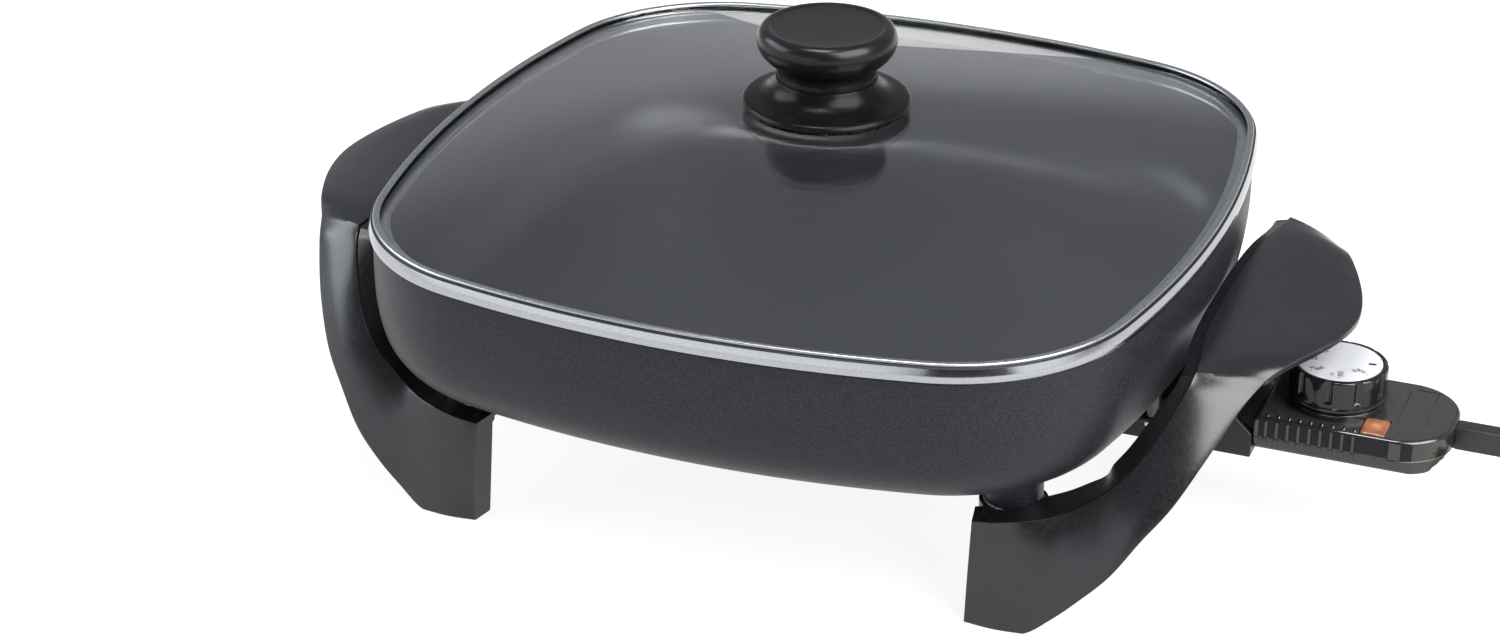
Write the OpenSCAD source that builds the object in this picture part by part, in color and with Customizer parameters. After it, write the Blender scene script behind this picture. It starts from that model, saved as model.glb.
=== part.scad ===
// Electric skillet: square cast pan with a glass lid, two handles that are also the legs,
// and a plug-in temperature control with its probe, dial and cord.
// +X points to the control side, -Y to the front, +Z up.
// The origin is on the table, under the centre of the pan.

/* [Plan] */
// Half width of the lid rim, the outermost line of the rounded-square plan
plan_a = 155; // [153:0.5:156]
// Radius of the four long side arcs of the plan
side_r = 426; // [410:2:450]
// Radius of the four corner arcs of the plan
corner_r = 73; // [70:0.5:76]

/* [Pan] */
// Height of the pan's rim above the table
rim_z = 109.8; // [108:0.1:109.8]
// Gap from the lid rim's outer line in to the pan's wall
pan_inset = 1.3; // [1:0.1:1.6]
// Thickness of the pan's wall and floor
pan_t = 3; // [2.6:0.1:3.2]
// Height at which the wall starts to curve in
curve_z = 91; // [90:0.5:92]
// Radius of the wall's gentle upper curve
curve_r = 70; // [66:1:74]
// Radius of the curve between wall and floor
fillet_r = 24.2; // [23:0.2:25]
// Draft angle where the two curves meet, in degrees
draft = 14; // [12:0.5:15]
// Radius of the round bosses that stand on the handles
boss_r = 10.5; // [9:0.5:11]
// Distance of the bosses from the centre, left and right
boss_x = 106.5; // [105:0.5:108]
// Distance of the bosses from the centre, front and back
boss_y = 90; // [89:0.5:91]

/* [Heating element] */
// Outer diameter of the heating element's tube
element_d = 6.6; // [6:0.2:7]
// Half length of the element's loop
loop_x = 75; // [72:1:78]
// Half width of the element's loop
loop_y = 72; // [70:1:74]
// Half distance between the two terminals
terminal_y = 10; // [10:0.1:10.2]

/* [Lid] */
// Height of the glass dome above the lid's rim
dome_h = 24; // [22:0.5:24]
// Thickness of the glass
glass_t = 4; // [3.6:0.1:4]
// Depth that the rim's skirt reaches into the pan
skirt_h = 4.6; // [4:0.2:8]
// Radius of the knob's cap
knob_r = 26.5; // [24:0.5:28]
// Radius of the heat guard under the knob
guard_r = 32.35; // [30:0.05:34]

/* [Handles] */
// Sheet thickness of the handles along the grips
handle_t = 4; // [3.6:0.1:4.4]
// Thickness of the leg at its flat end
leg_t = 9.6; // [9:0.1:10.4]

/* [Control] */
// Distance of the dial's axis from the pan's centre
dial_x = 201.4; // [201:0.2:202]
// Radius of the dial knob
dial_r = 17.8; // [17.4:0.1:18.4]
// Number of flutes around the dial knob
flutes = 10; // [8:1:12]
// Half width of the control's housing
ctl_w = 24; // [23.8:0.1:24.2]
// Number of upright ribs along each side of the housing
ribs = 9; // [5:1:9]
// Radius of the temperature probe
probe_r = 3.2; // [3:0.1:3.2]

/* [Cord] */
// Diameter of the mains cord
cord_d = 7; // [6.8:0.1:7]
// Radius of the cord's coil at the middle of its turns
coil_r = 38; // [37:0.5:39]

/* [Hidden] */
$fn = 64;

// plan arcs: tangent angle and corner centre
plan_th = 45 + asin((plan_a - side_r) / ((side_r - corner_r) * sqrt(2)));
plan_c = (side_r - corner_r) * sin(plan_th);

// pan profile, as inset from the lid rim's outer line against height
fc_i = pan_inset + curve_r - (curve_r - fillet_r) * cos(draft);
fc_z = curve_z - (curve_r - fillet_r) * sin(draft);
pan_bottom = fc_z - fillet_r;
pan_floor = pan_bottom + pan_t;
axis_z = 47;      // axis of the element, its terminals and the probe
rib_z = 42;       // underside of the element's rib
ear_x = 139.5;     // screws that hold the terminal guard
ear_y = 27.7;
ear_z = 47.3;
ledge_z = 40.3;   // top of the handles' ledges under the bosses
washer_t = 0.8;
glass_edge_z = 115;
dome_top = glass_edge_z + dome_h;
plan_n = 80;       // points around the plan's outline

// control
ctl_bottom = 40.4;
ctl_seam = 46;
ctl_top = 54;
nose_top = 52;
wall = 2;
cord_z = 48.5;
collar_top = 56.6;

// cord
coil_c = [320, 75];
layer1 = 4.3;     // height of the coil's first turn
layers = 17.75;   // rise over its two and a half turns
lead_route = [[284, 0, 48.5], [296, 0.5, 47.8], [308, 2.5, 44.5], [320, 7, 38.5],
  [331, 14, 30.5], [341, 24, 21.5], [349, 36, 13.5], [355, 49, 7.8],
  [357.5, 62, 4.9], [358, 75, 4.3]];
tail_route = [[282, 75, 22.05], [282, 66, 22], [282.6, 57, 20.4], [284, 48, 17],
  [286, 39.5, 12.8], [288.2, 32, 9.4], [290, 25, 8]];
plug_at = [290, 25, 0];
plug_turn = -80;

// ---------- helpers ----------

// radius and angle swept points of an arc, as [inset, z]
function arc_pts(ci, cz, r, a0, a1, n) =
  [for (k = [0:n]) let(t = a0 + (a1 - a0) * k / n) [ci - r * cos(t), cz - r * sin(t)]];

// one point of the plan's outline at an inset; u runs once around
function plan_pt(u, i) =
  let(q = floor(u * 4) % 4, f = u * 4 - floor(u * 4), n1 = 0.25, a = 90 * q,
      p = f < n1 ? // half of a side arc
            let(t = plan_th * f / n1) [(side_r - i) * sin(t), plan_a - side_r + (side_r - i) * cos(t)]
          : f < 1 - n1 ?
            let(t = plan_th + (90 - 2 * plan_th) * (f - n1) / (1 - 2 * n1))
              [plan_c + (corner_r - i) * sin(t), plan_c + (corner_r - i) * cos(t)]
          : let(t = 90 - plan_th * (1 - f) / n1)
              [plan_a - side_r + (side_r - i) * sin(t), (side_r - i) * cos(t)])
  [p[0] * cos(a) + p[1] * sin(a), -p[0] * sin(a) + p[1] * cos(a)];

// faces of a mesh of n rings with m points each
function mesh_faces(n, m, wrap) = [
  for (i = [0:(wrap ? n : n - 1) - 1]) for (j = [0:m - 1])
    let(a = i * m + j, b = i * m + (j + 1) % m,
        c = ((i + 1) % n) * m + (j + 1) % m, d = ((i + 1) % n) * m + j)
      each [[a, c, b], [a, d, c]]];
function cap_faces(n, m) = [[for (j = [0:m - 1]) j], [for (j = [m - 1:-1:0]) (n - 1) * m + j]];

// sweeps a closed [inset, z] outline around the rounded-square plan
module plan_sweep(pts) {
  m = len(pts);
  polyhedron([for (k = [0:plan_n - 1], p = pts) let(c = plan_pt(k / plan_n, p[0])) [c[0], c[1], p[1]]],
    mesh_faces(plan_n, m, true), convexity = 6);
}

// a solid between rising [inset, z] points, closed flat at both ends
module plan_solid(pts) {
  polyhedron([for (p = pts, k = [0:plan_n - 1]) let(c = plan_pt(k / plan_n, p[0])) [c[0], c[1], p[1]]],
    concat(mesh_faces(len(pts), plan_n, false), cap_faces(len(pts), plan_n)), convexity = 6);
}

function unit(v) = v / norm(v);
// Catmull-Rom value between list items
function cr(p0, p1, p2, p3, t) = 0.5 * ((2 * p1) + (p2 - p0) * t
  + (2 * p0 - 5 * p1 + 4 * p2 - p3) * t * t + (3 * p1 - p0 - 3 * p2 + p3) * t * t * t);
function clampi(i, n) = max(0, min(n - 1, i));
function along(l, x) = let(n = len(l), i = min(floor(x), n - 2), t = x - i)
  cr(l[clampi(i - 1, n)], l[i], l[i + 1], l[clampi(i + 2, n)], t);

// round tube along a route of points
module tube(route, d, sub, sides) {
  n = (len(route) - 1) * sub + 1;
  pts = [for (k = [0:n - 1]) along(route, k / sub)];
  rings = [for (k = [0:n - 1])
    let(t = k == 0 ? unit(pts[1] - pts[0]) : k == n - 1 ? unit(pts[n - 1] - pts[n - 2]) : unit(pts[k + 1] - pts[k - 1]),
        s = unit(cross(t, [0, 0, 1])), u = cross(s, t))
      for (j = [0:sides - 1]) let(a = 360 * (j + 0.5) / sides)
        pts[k] + (s * cos(a) - u * sin(a)) * d / 2];
  polyhedron(rings, concat(mesh_faces(n, sides, false), cap_faces(n, sides)), convexity = 4);
}

module at_corners(x, y) for (sx = [-1, 1], sy = [-1, 1]) translate([sx * x, sy * y, 0]) children();
module at_sides(x, y) for (sy = [-1, 1]) translate([x, sy * y, 0]) children();
module xcyl(x0, x1, r) translate([x0, 0, 0]) rotate([0, 90, 0]) cylinder(r = r, h = x1 - x0);
module box(a, b) translate(a) cube(b - a);

// ---------- pan and heating element ----------

// bowl outline from the inner floor's edge up to the rim and down to the bottom's edge
pan_pts = concat(
  [[fc_i, pan_floor]],
  [for (k = [1:6]) let(p = arc_pts(fc_i, fc_z, fillet_r - pan_t, 90, draft, 6)[k]) p],
  [[pan_inset + pan_t, curve_z], [pan_inset + pan_t, rim_z], [pan_inset + 0.5, rim_z], [pan_inset, rim_z - 0.5],
   [pan_inset, curve_z]],
  arc_pts(fc_i, fc_z, fillet_r, draft, 90, 6));

// the element's loop, as a flat band of half width w around its centre line
module loop_2d(w) {
  r = 30; e = 15; ty = terminal_y;
  difference() {
    union() {
      for (sx = [-1, 1], sy = [-1, 1]) translate([sx * (loop_x - r), sy * (loop_y - r)]) circle(r = r + w);
      square([2 * (loop_x - r), 2 * (loop_y + w)], center = true);
      square([2 * (loop_x + w), 2 * (loop_y - r)], center = true);
    }
    for (sx = [-1, 1], sy = [-1, 1]) translate([sx * (loop_x - r), sy * (loop_y - r)]) circle(r = r - w);
    square([2 * (loop_x - r), 2 * (loop_y - w)], center = true);
    square([2 * (loop_x - w), 2 * (loop_y - r)], center = true);
    translate([loop_x - w - 1, -e - ty]) square([2 * w + 2, 2 * (e + ty)]);
  }
  for (s = [-1, 1]) scale([1, s]) {
    intersection() {
      translate([loop_x + e, e + ty]) difference() { circle(r = e + w); circle(r = e - w); }
      translate([loop_x - w, ty - w]) square([e + w, e + w]);
    }
    translate([loop_x + e, ty - w]) square([28, 2 * w]);
  }
}

// the element's round tube along the same centre line
module loop_tube(r0, x_end) {
  r = 30; e = 15; ty = terminal_y;
  translate([0, 0, axis_z]) {
    for (s = [-1, 1]) {
      translate([loop_x - r, s * (loop_y - r), 0]) rotate([0, 0, s > 0 ? 0 : -90])
        rotate_extrude(angle = 90) translate([r, 0]) circle(r = r0, $fn = 32);
      translate([-loop_x + r, s * (loop_y - r), 0]) rotate([0, 0, s > 0 ? 90 : 180])
        rotate_extrude(angle = 90) translate([r, 0]) circle(r = r0, $fn = 32);
      translate([loop_x + e, s * (e + ty), 0]) rotate([0, 0, s > 0 ? 180 : 90])
        rotate_extrude(angle = 90) translate([e, 0]) circle(r = r0, $fn = 32);
      translate([-loop_x + r, s * loop_y, 0]) rotate([0, 90, 0]) cylinder(r = r0, h = 2 * (loop_x - r), $fn = 32);
      translate([loop_x, s * (e + ty), 0]) rotate([s > 0 ? -90 : 90, 0, 0])
        cylinder(r = r0, h = loop_y - r - e - ty, $fn = 32);
      translate([loop_x + e, s * ty, 0]) rotate([0, 90, 0]) cylinder(r = r0, h = x_end - loop_x - e, $fn = 32);
    }
    translate([-loop_x, -(loop_y - r), 0]) rotate([-90, 0, 0]) cylinder(r = r0, h = 2 * (loop_y - r), $fn = 32);
  }
}

module pan() color("#3b3d41") difference() {
  union() {
    plan_solid(pan_pts);
    // rib that holds the heating element
    translate([0, 0, rib_z]) linear_extrude(pan_bottom + 1 - rib_z) loop_2d(5.5);
    // boss with the well for the probe
    box([62, -4.3, rib_z], [127, 4.3, pan_bottom + 1]);
    // bosses on the handles' ledges
    at_corners(boss_x, boss_y) translate([0, 0, ledge_z + washer_t])
      cylinder(r = boss_r, h = pan_bottom + 1.3 - ledge_z - washer_t);
    // bosses that the terminal guard's ears are screwed to
    at_sides(ear_x, ear_y) translate([0, 0, ear_z + 2]) cylinder(r = 2.9, h = 60.7 - ear_z - 2);
  }
  loop_tube(element_d / 2, loop_x + 15 + 31);
  translate([0, 0, axis_z]) xcyl(88, 130, probe_r + 0.1);
  at_corners(boss_x, boss_y) translate([0, 0, 40]) cylinder(r = 2.5, h = 12);
  at_sides(ear_x, ear_y) translate([0, 0, ear_z]) cylinder(r = 1.3, h = 10.2);
}

module heating_element() color("#8d8f92") loop_tube(element_d / 2, 120);

module element_terminals() color("#c9c3b4")
  at_sides(0, terminal_y) translate([0, 0, axis_z]) xcyl(120, 168, 2);

module terminal_bushings() color("#e8e2d4")
  at_sides(0, terminal_y) translate([0, 0, axis_z]) difference() {
    xcyl(120, 125, 3.2);
    xcyl(119, 126, 2.05);
  }

module terminal_guard() color("#2a2b2d") difference() {
  union() {
    box([121, -24.5, 37], [176, 24.5, 54.7]);
    // ears for the two screws
    for (s = [-1, 1]) scale([1, s, 1]) box([ear_x - 7.5, 24, ear_z], [ear_x + 7.5, 31.4, ear_z + 2]);
  }
  box([123.5, -22, 39.5], [177, 22, 52.5]);
  box([120, -14.6, 41], [124, 14.6, 55]);
  box([120, -14.6, 52], [128.5, 14.6, 55]);
  // slanted upper corner at the mouth
  translate([0, 40, 0]) rotate([90, 0, 0]) linear_extrude(80)
    polygon([[167, 55], [167, 54.7], [176.1, 46.2], [177, 46.2], [177, 55]]);
  at_sides(ear_x, ear_y) translate([0, 0, ear_z - 1]) cylinder(r = 1.5, h = 4);
}

module guard_screws() color("#b9babd") at_sides(ear_x, ear_y) {
  translate([0, 0, ear_z - 2]) cylinder(r = 2.9, h = 2);
  translate([0, 0, ear_z - 1]) cylinder(r = 1.25, h = 10.6);
}

// ---------- handles ----------
// Rows along half a handle, from the flat end of the front leg to the middle of the grip:
// upper inner edge, outer lower edge, ledge width, inner offset, share of the ledge's downward turn
rows = [
  [[97, -109, 39], [97, -114.5, 0], 10.8, leg_t, 0],
  [[106, -110.5, 41], [108, -115.5, 0], 13.5, 8, 0],
  [[114, -109.5, 42.5], [119, -114.5, 0], 15, 6, 0],
  [[122, -106.5, 43.5], [129, -113, 7.5], 15, 5, 0],
  [[130, -102.5, 46], [138, -112.5, 16.5], 14.5, 4.5, 0],
  [[138, -99.5, 51], [148, -109.5, 27], 13.5, 4.2, 0],
  [[146, -97, 58], [157, -104, 40], 12, 4, 0.1],
  [[153, -91.5, 66.5], [166, -96.5, 52], 9.5, 4, 0.25],
  [[159, -83.5, 77.5], [174.5, -85, 67.5], 7.5, 4, 0.5],
  [[163, -75.5, 87], [182, -70.5, 81.5], 5, 4, 0.75],
  [[164.5, -69.5, 91.8], [187, -58.6, 87.4], 4.4, 4, 1],
  [[163, -58, 92.4], [192.8, -47.8, 90.3], 4.4, 4, 1],
  [[160.5, -43, 92.6], [200, -31, 90], 4.6, 4, 1],
  [[159.3, -22, 92.6], [205, -15, 89.2], 4.8, 4, 1],
  [[159, 0, 92.6], [207, 0, 88.8], 4.7, 4, 1]];
half_n = len(rows);
function flip(v) = [v[0], -v[1], v[2]];
all_b = [for (k = [0:2 * half_n - 2]) k < half_n ? rows[k][0] : flip(rows[2 * half_n - 2 - k][0])];
all_a = [for (k = [0:2 * half_n - 2]) k < half_n ? rows[k][1] : flip(rows[2 * half_n - 2 - k][1])];
all_w = [for (k = [0:2 * half_n - 2]) k < half_n ? rows[k][2] : rows[2 * half_n - 2 - k][2]];
all_t = [for (k = [0:2 * half_n - 2]) let(q = k < half_n ? k : 2 * half_n - 2 - k)
  rows[q][3] == 4 ? handle_t : rows[q][3]];
all_l = [for (k = [0:2 * half_n - 2]) k < half_n ? rows[k][4] : rows[2 * half_n - 2 - k][4]];

// one closed outline across the handle at x along its rows
function handle_ring(x) =
  let(n = 2 * half_n - 1, e = 0.25,
      b = along(all_b, x), a = along(all_a, x), w = along(all_w, x), t = along(all_t, x), l = along(all_l, x),
      x0 = max(0, x - e), x1 = min(n - 1, x + e),
      dir = unit((along(all_b, x1) + along(all_a, x1)) - (along(all_b, x0) + along(all_a, x0))),
      xe = min(x, n - 1 - x), k = max(0, 1 - xe / 2), sy = x < half_n - 1 ? 1 : -1,
      nin = unit(-unit(cross(dir, b - a)) * (1 - k) + [-0.2, 0.98 * sy, 0] * k),
      db = along(all_b, x1) - along(all_b, x0),
      nh = unit(unit([-db[1], db[0], 0]) * (1 - k) + [-0.2, 0.98 * sy, 0] * k),
      d = unit(nh * (1 - l) + nin * l),
      dn = unit(a - b), q = unit(dn * (1 - l) + nin * l), bl = b + nin * (0.3 + 0.9 * l),
      ta = min(3, t), af = [a[0], a[1], max(0, a[2])])
  [af,
   af + (b - af) * 0.25 - nin * 0.9, af + (b - af) * 0.5 - nin * 1.2, af + (b - af) * 0.75 - nin * 0.9,
   b, bl, bl + nh * w, bl + nh * w + q * 3.2, b + nin * t + dn * 3.4,
   af + (b - af) * 0.6 + nin * t, af + (b - af) * 0.3 + nin * t,
   af + d * (x < 2.5 || x > n - 3.5 ? t : ta + (t - ta) * max(0, 1 - abs(min(x, n - 1 - x) - 2.5)))];

module handle_shell() {
  sub = 2; n = (2 * half_n - 2) * sub + 1; m = 12;
  polyhedron([for (k = [0:n - 1]) let(r = handle_ring(k / sub)) for (j = [m - 1:-1:0]) r[j]],
    concat(mesh_faces(n, m, false), cap_faces(n, m)), convexity = 8);
}

module handle() difference() {
  union() {
    handle_shell();
    at_sides(boss_x, boss_y) translate([0, 0, ledge_z - 4]) cylinder(r = 12.5, h = 4);
    for (s = [-1, 1]) scale([1, s, 1]) box([boss_x - 8, -106, ledge_z - 4], [boss_x + 8, -boss_y, ledge_z]);
  }
  at_sides(boss_x, boss_y) {
    translate([0, 0, 30]) cylinder(r = 2.6, h = 20);
    translate([0, 0, ledge_z]) cylinder(r = 11.4, h = 8);
  }
}

module right_handle() color("#26272a") handle();
module left_handle() color("#26272a") mirror([1, 0, 0]) handle();

module handle_washers() color("#c4c6c9") at_corners(boss_x, boss_y) difference() {
  translate([0, 0, ledge_z]) cylinder(r = 11, h = washer_t);
  translate([0, 0, ledge_z - 1]) cylinder(r = 2.7, h = 3);
}

module handle_screws() color("#b0b2b5") at_corners(boss_x, boss_y) {
  translate([0, 0, ledge_z - 6.8]) cylinder(r = 4.6, h = 2.8);
  translate([0, 0, ledge_z - 4]) cylinder(r = 2.45, h = 15);
}

// ---------- lid ----------

module lid_rim() color("#d6d7d9") plan_sweep([
  [0, 110.1], [0, 115], [0.6, 115.9], [1.5, 116.7], [4.1, 116.9], [4.4, 116.5], [4.2, 115.35],
  [0.9, 115.2], [0.6, 114.9], [0.6, 110.7], [8.3, 110.7], [8.3, 110.1], [5.6, 110.1],
  [5.6, 110.9 - skirt_h], [5.9, 110.5 - skirt_h], [5.6, 110.1 - skirt_h], [5, 110.2 - skirt_h], [5, 110.1]]);

glass_s = [1, 0.94, 0.86, 0.76, 0.64, 0.5, 0.35, 0.2];
function dome_z(s) = s <= 0.2 ? dome_top : glass_edge_z + dome_h * (1 - pow((s - 0.2) / 0.8, 1.25));
function dome_pt(u, s) = let(p = plan_pt(u, 5), c = unit(p) * 150) (c + (p - c) * s) * s;
function glass_ring(u) =
  let(e = plan_pt(u, 0.9), h = unit(e) * 4,
      top = concat([[e[0], e[1], glass_edge_z]],
        [for (s = glass_s) let(p = dome_pt(u, s)) [p[0], p[1], dome_z(s)]],
        [[h[0], h[1], dome_top]]))
  concat(top, [for (k = [len(top) - 1:-1:0]) top[k] - [0, 0, glass_t]]);

module lid_glass() color([0.55, 0.6, 0.62, 0.4]) {
  rings = [for (k = [0:plan_n - 1]) glass_ring(k / plan_n)];
  m = len(rings[0]);
  polyhedron([for (r = rings) each r], mesh_faces(plan_n, m, true), convexity = 6);
}

module knob_guard() color("#232427") rotate_extrude() translate([0, dome_top - 139]) polygon([
  [2.3, 140], [guard_r - 2.4, 140], [guard_r - 0.6, 140.8], [guard_r, 142.2], [guard_r - 0.5, 143.6],
  [guard_r - 1.8, 144.4], [guard_r - 6.5, 145.1], [23.4, 146.2], [21.4, 147.9], [20, 150], [19.2, 152], [2.3, 152]]);

module lid_knob() color("#1e1f21") translate([0, 0, dome_top - 139]) difference() {
  rotate_extrude() polygon([
    [0, 152], [18.8, 152], [18.8, 154.5], [19.3, 156.4], [20.6, 158], [22.6, 159.6], [24.6, 161.6],
    [26, 164], [knob_r, 166.6], [26.2, 168.8], [25.4, 170.6], [24.2, 171.8], [22.8, 172.3],
    [21.4, 172.1], [20.8, 171.7], [0, 171.5]]);
  translate([0, 0, 151]) cylinder(r = 4, h = 15);
}

module knob_insert() color("#b5954f") translate([0, 0, dome_top - 139]) difference() {
  translate([0, 0, 152]) cylinder(r = 4, h = 14);
  translate([0, 0, 151]) cylinder(r = 2.05, h = 13);
}

module knob_gaskets() color("#6a6c6e") for (z = [dome_top, dome_top - glass_t - 1]) translate([0, 0, z]) difference() {
  cylinder(r = 13, h = 1);
  translate([0, 0, -1]) cylinder(r = 2.3, h = 3);
}

module knob_washer() color("#c4c6c9") translate([0, 0, dome_top - glass_t - 2.2]) difference() {
  cylinder(r = 9, h = 1.2);
  translate([0, 0, -1]) cylinder(r = 2.3, h = 4);
}

module knob_screw() color("#c4c6c9") {
  translate([0, 0, dome_top - glass_t - 5]) cylinder(r = 4.5, h = 2.8);
  translate([0, 0, dome_top - glass_t - 2.2]) cylinder(r = 2, h = 28 + glass_t - 4);
}

// ---------- control housing ----------

module ctl_body_2d(i) {
  r = 20 - i;
  translate([176.8 + i, -ctl_w + i]) square([226 - 176.8 - i, 2 * (ctl_w - i)]);
  for (s = [-1, 1]) translate([226, s * (ctl_w - 20)]) circle(r = r);
  translate([176.8 + i, -(ctl_w - 20)]) square([246 - 176.8 - 2 * i, 2 * (ctl_w - 20)]);
}
module nose_2d(i) translate([150 + i, -21.5 + i]) square([28, 2 * (21.5 - i)]);

// bounds of the lower housing's slanted sides and end, at a wall inset i
module keel(i) intersection() {
  translate([0, 40, 0]) rotate([90, 0, 0]) linear_extrude(80)
    polygon([[140, 38], [236.5 - i, 38], [246.01 - 1.2 * i, 46.01], [246.01 - 1.2 * i, 60], [140, 60]]);
  translate([140, 0, 0]) rotate([90, 0, 90]) linear_extrude(120)
    polygon([[-21.6 + i, 39], [21.6 - i, 39], [24.01 - i, 44], [24.01 - i, 60], [-24.01 + i, 60], [-24.01 + i, 44]]);
}

module screw_spots() for (sy = [-1, 1]) {
  translate([183, sy * 18.2, 0]) children();
  translate([230, sy * 12, 0]) children();
}

// everything that cuts the housing's walls: probe, pins, cord, panels between the ribs
module ctl_cuts() {
  translate([0, 0, axis_z]) xcyl(149, 153, probe_r + 0.1);
  at_sides(0, terminal_y) translate([0, 0, axis_z]) xcyl(149, 153, 3.1);
  box([243.5, -3.75, 43.95], [247, 3.75, 53.05]);
  for (k = [0:ribs], s = [-1, 1]) scale([1, s, 1])
    box([k == 0 ? 178.3 : 177.5 + 4 * k, -ctl_w - 1, ctl_bottom + 1],
        [k == ribs ? 226 : 180.5 + 4 * k, -ctl_w + 1.1, ctl_top - 0.9]);
}

module control_upper_housing() color("#1c1d1f") difference() {
  union() {
    difference() {
      union() {
        translate([0, 0, ctl_seam]) linear_extrude(ctl_top - ctl_seam) ctl_body_2d(0);
        translate([0, 0, ctl_seam]) linear_extrude(nose_top - ctl_seam) nose_2d(0);
        translate([dial_x, 0, ctl_top - 1]) cylinder(r = 17.6, h = collar_top - ctl_top + 1);
        // ridges that carry the ribs over the top's edges
        for (k = [0:ribs - 1], s = [-1, 1])
          translate([181 + 4 * k, s * 20.2, ctl_top]) rotate([90, 0, 0]) cylinder(r = 0.5, h = 7, center = true, $fn = 24);
      }
      translate([0, 0, ctl_seam - 1]) linear_extrude(ctl_top - wall - ctl_seam + 1) ctl_body_2d(wall);
      translate([0, 0, ctl_seam - 1]) linear_extrude(nose_top - 1.2 - ctl_seam + 1) nose_2d(wall);
    }
    screw_spots() translate([0, 0, 42.5]) cylinder(r = 3.1, h = ctl_top - 43.5);
  }
  ctl_cuts();
  screw_spots() translate([0, 0, 41]) cylinder(r = 1.3, h = 8.2);
  translate([dial_x, 0, 50]) cylinder(r = 3.06, h = 10);
  box([214.4, -22.4, 51], [224, -9.5, 60]);
  // shallow engraved lines on the rear of the top
  box([225.5, -8.5, ctl_top - 0.4], [226, 16.8, ctl_top + 1]);
  box([235.5, -8.5, ctl_top - 0.4], [236, 18.8, ctl_top + 1]);
  box([227.4, 18.3, ctl_top - 0.4], [235.8, 18.8, ctl_top + 1]);
}

module control_lower_housing() color("#1c1d1f") difference() {
  union() {
    intersection() {
      translate([0, 0, ctl_bottom]) linear_extrude(ctl_seam - ctl_bottom) ctl_body_2d(0);
      keel(0);
    }
    translate([0, 0, ctl_bottom]) linear_extrude(ctl_seam - ctl_bottom) nose_2d(0);
  }
  intersection() {
    translate([0, 0, ctl_bottom + wall]) linear_extrude(10) ctl_body_2d(wall);
    keel(wall);
  }
  translate([0, 0, ctl_bottom + wall]) linear_extrude(10) nose_2d(wall);
  ctl_cuts();
  screw_spots() {
    translate([0, 0, 39]) cylinder(r = 1.6, h = 5);
    translate([0, 0, 39]) cylinder(r = 3, h = 2.5);
  }
}

module housing_screws() color("#9c9ea1") screw_spots() {
  translate([0, 0, 40.5]) cylinder(r = 2.8, h = 1);
  translate([0, 0, 41.5]) cylinder(r = 1.25, h = 7.5);
}

module indicator_lens() color("#e07a35") union() {
  box([214.6, -22.2, 51.9], [223.8, -9.7, 54.8]);
  box([213.6, -21.6, 50.9], [226.2, -8.8, 51.9]);
}

module neon_lamp() color("#f2b38a") translate([0, -16, 47.8]) xcyl(213, 224, 2.4);
module lamp_resistor() color("#b08d63") translate([0, -8.5, 45.2]) xcyl(220.3, 226.5, 1.2);

module probe_tube() color("#c9cbce") difference() {
  translate([0, 0, axis_z]) union() {
    xcyl(93, 160, probe_r);
    translate([93, 0, 0]) rotate([0, 90, 0]) translate([0, 0, -1.2]) cylinder(r1 = probe_r - 1.2, r2 = probe_r, h = 1.2);
  }
  translate([0, 0, axis_z]) xcyl(94, 161, probe_r - 0.5);
}

module bimetal_strip() color("#a8a39a") box([94, -1.9, axis_z - 0.4], [172, 1.9, axis_z + 0.4]);
module push_bead() color("#e8e2d4") box([168.5, -1.8, axis_z - 1.7], [171.5, 1.8, axis_z - 0.4]);
module probe_flange() color("#b5954f") difference() {
  box([158, -6, 42.5], [159.2, 6, 50.7]);
  translate([0, 0, axis_z]) xcyl(157, 160, probe_r);
}

module terminal_receptacles() color("#b5954f") at_sides(0, terminal_y) translate([0, 0, axis_z]) difference() {
  xcyl(153, 172, 3);
  xcyl(152, 170, 2.1);
}

module lead_strips() color("#b87333") for (s = [-1, 1]) scale([1, s, 1]) {
  box([172, 12.4, 43.5], [226, 13.2, 47]);
  box([172, 9, 44.5], [172.8, 13.2, 47]);
}

module contact_stack() color("#e8e2d4") difference() {
  box([208, -5.5, 42.5], [220, 5.5, 51.5]);
  box([207, -3, 44.6], [219, 3, 45.1]);
  box([207, -3, 48], [219, 3, 48.5]);
}

module upper_contact_arm() color("#c8a85a") union() {
  box([178, -3, 48], [219, 3, 48.5]);
  translate([184, 0, 47]) cylinder(r = 2, h = 1.2);
}

module lower_contact_arm() color("#c8a85a") union() {
  box([168, -3, 44.6], [219, 3, 45.1]);
  translate([184, 0, 45]) cylinder(r = 2, h = 1.2);
}

// ---------- dial ----------

module dial_knob() color("#1b1c1e") translate([dial_x, 0, 0]) difference() {
  union() {
    translate([0, 0, 57.4]) cylinder(r = dial_r + 0.8, h = 1.8);
    translate([0, 0, 59]) cylinder(r = dial_r, h = 10.2);
    translate([0, 0, 69.2]) cylinder(r1 = dial_r, r2 = dial_r - 0.7, h = 0.7);
  }
  for (k = [0:flutes - 1]) rotate([0, 0, 360 * (k + 0.5) / flutes]) translate([dial_r + 0.9, 0, 60.8]) cylinder(r = 1.9, h = 12, $fn = 32);
  translate([0, 0, 69.4]) cylinder(r = dial_r - 1.95, h = 2);
  translate([0, 0, 56]) difference() {
    cylinder(r = dial_r - 3.6, h = 10.4);
    cylinder(r = 6, h = 11);
  }
  translate([0, 0, 56]) cylinder(r = 3.02, h = 10.2);
}

module dial_face() color("#eceded") translate([dial_x, 0, 69.4]) cylinder(r = dial_r - 2, h = 0.5);

module dial_shaft() color("#b9babd") translate([dial_x, 0, 0]) difference() {
  union() {
    translate([0, 0, 50.3]) cylinder(r = 3, h = 0.7);
    translate([0, 0, 51]) cylinder(r = 2.5, h = 0.8);
    translate([0, 0, 51.8]) cylinder(r = 3, h = 14.2);
  }
  translate([0, 0, 49]) cylinder(r = 1.7, h = 7.2);
}

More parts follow.
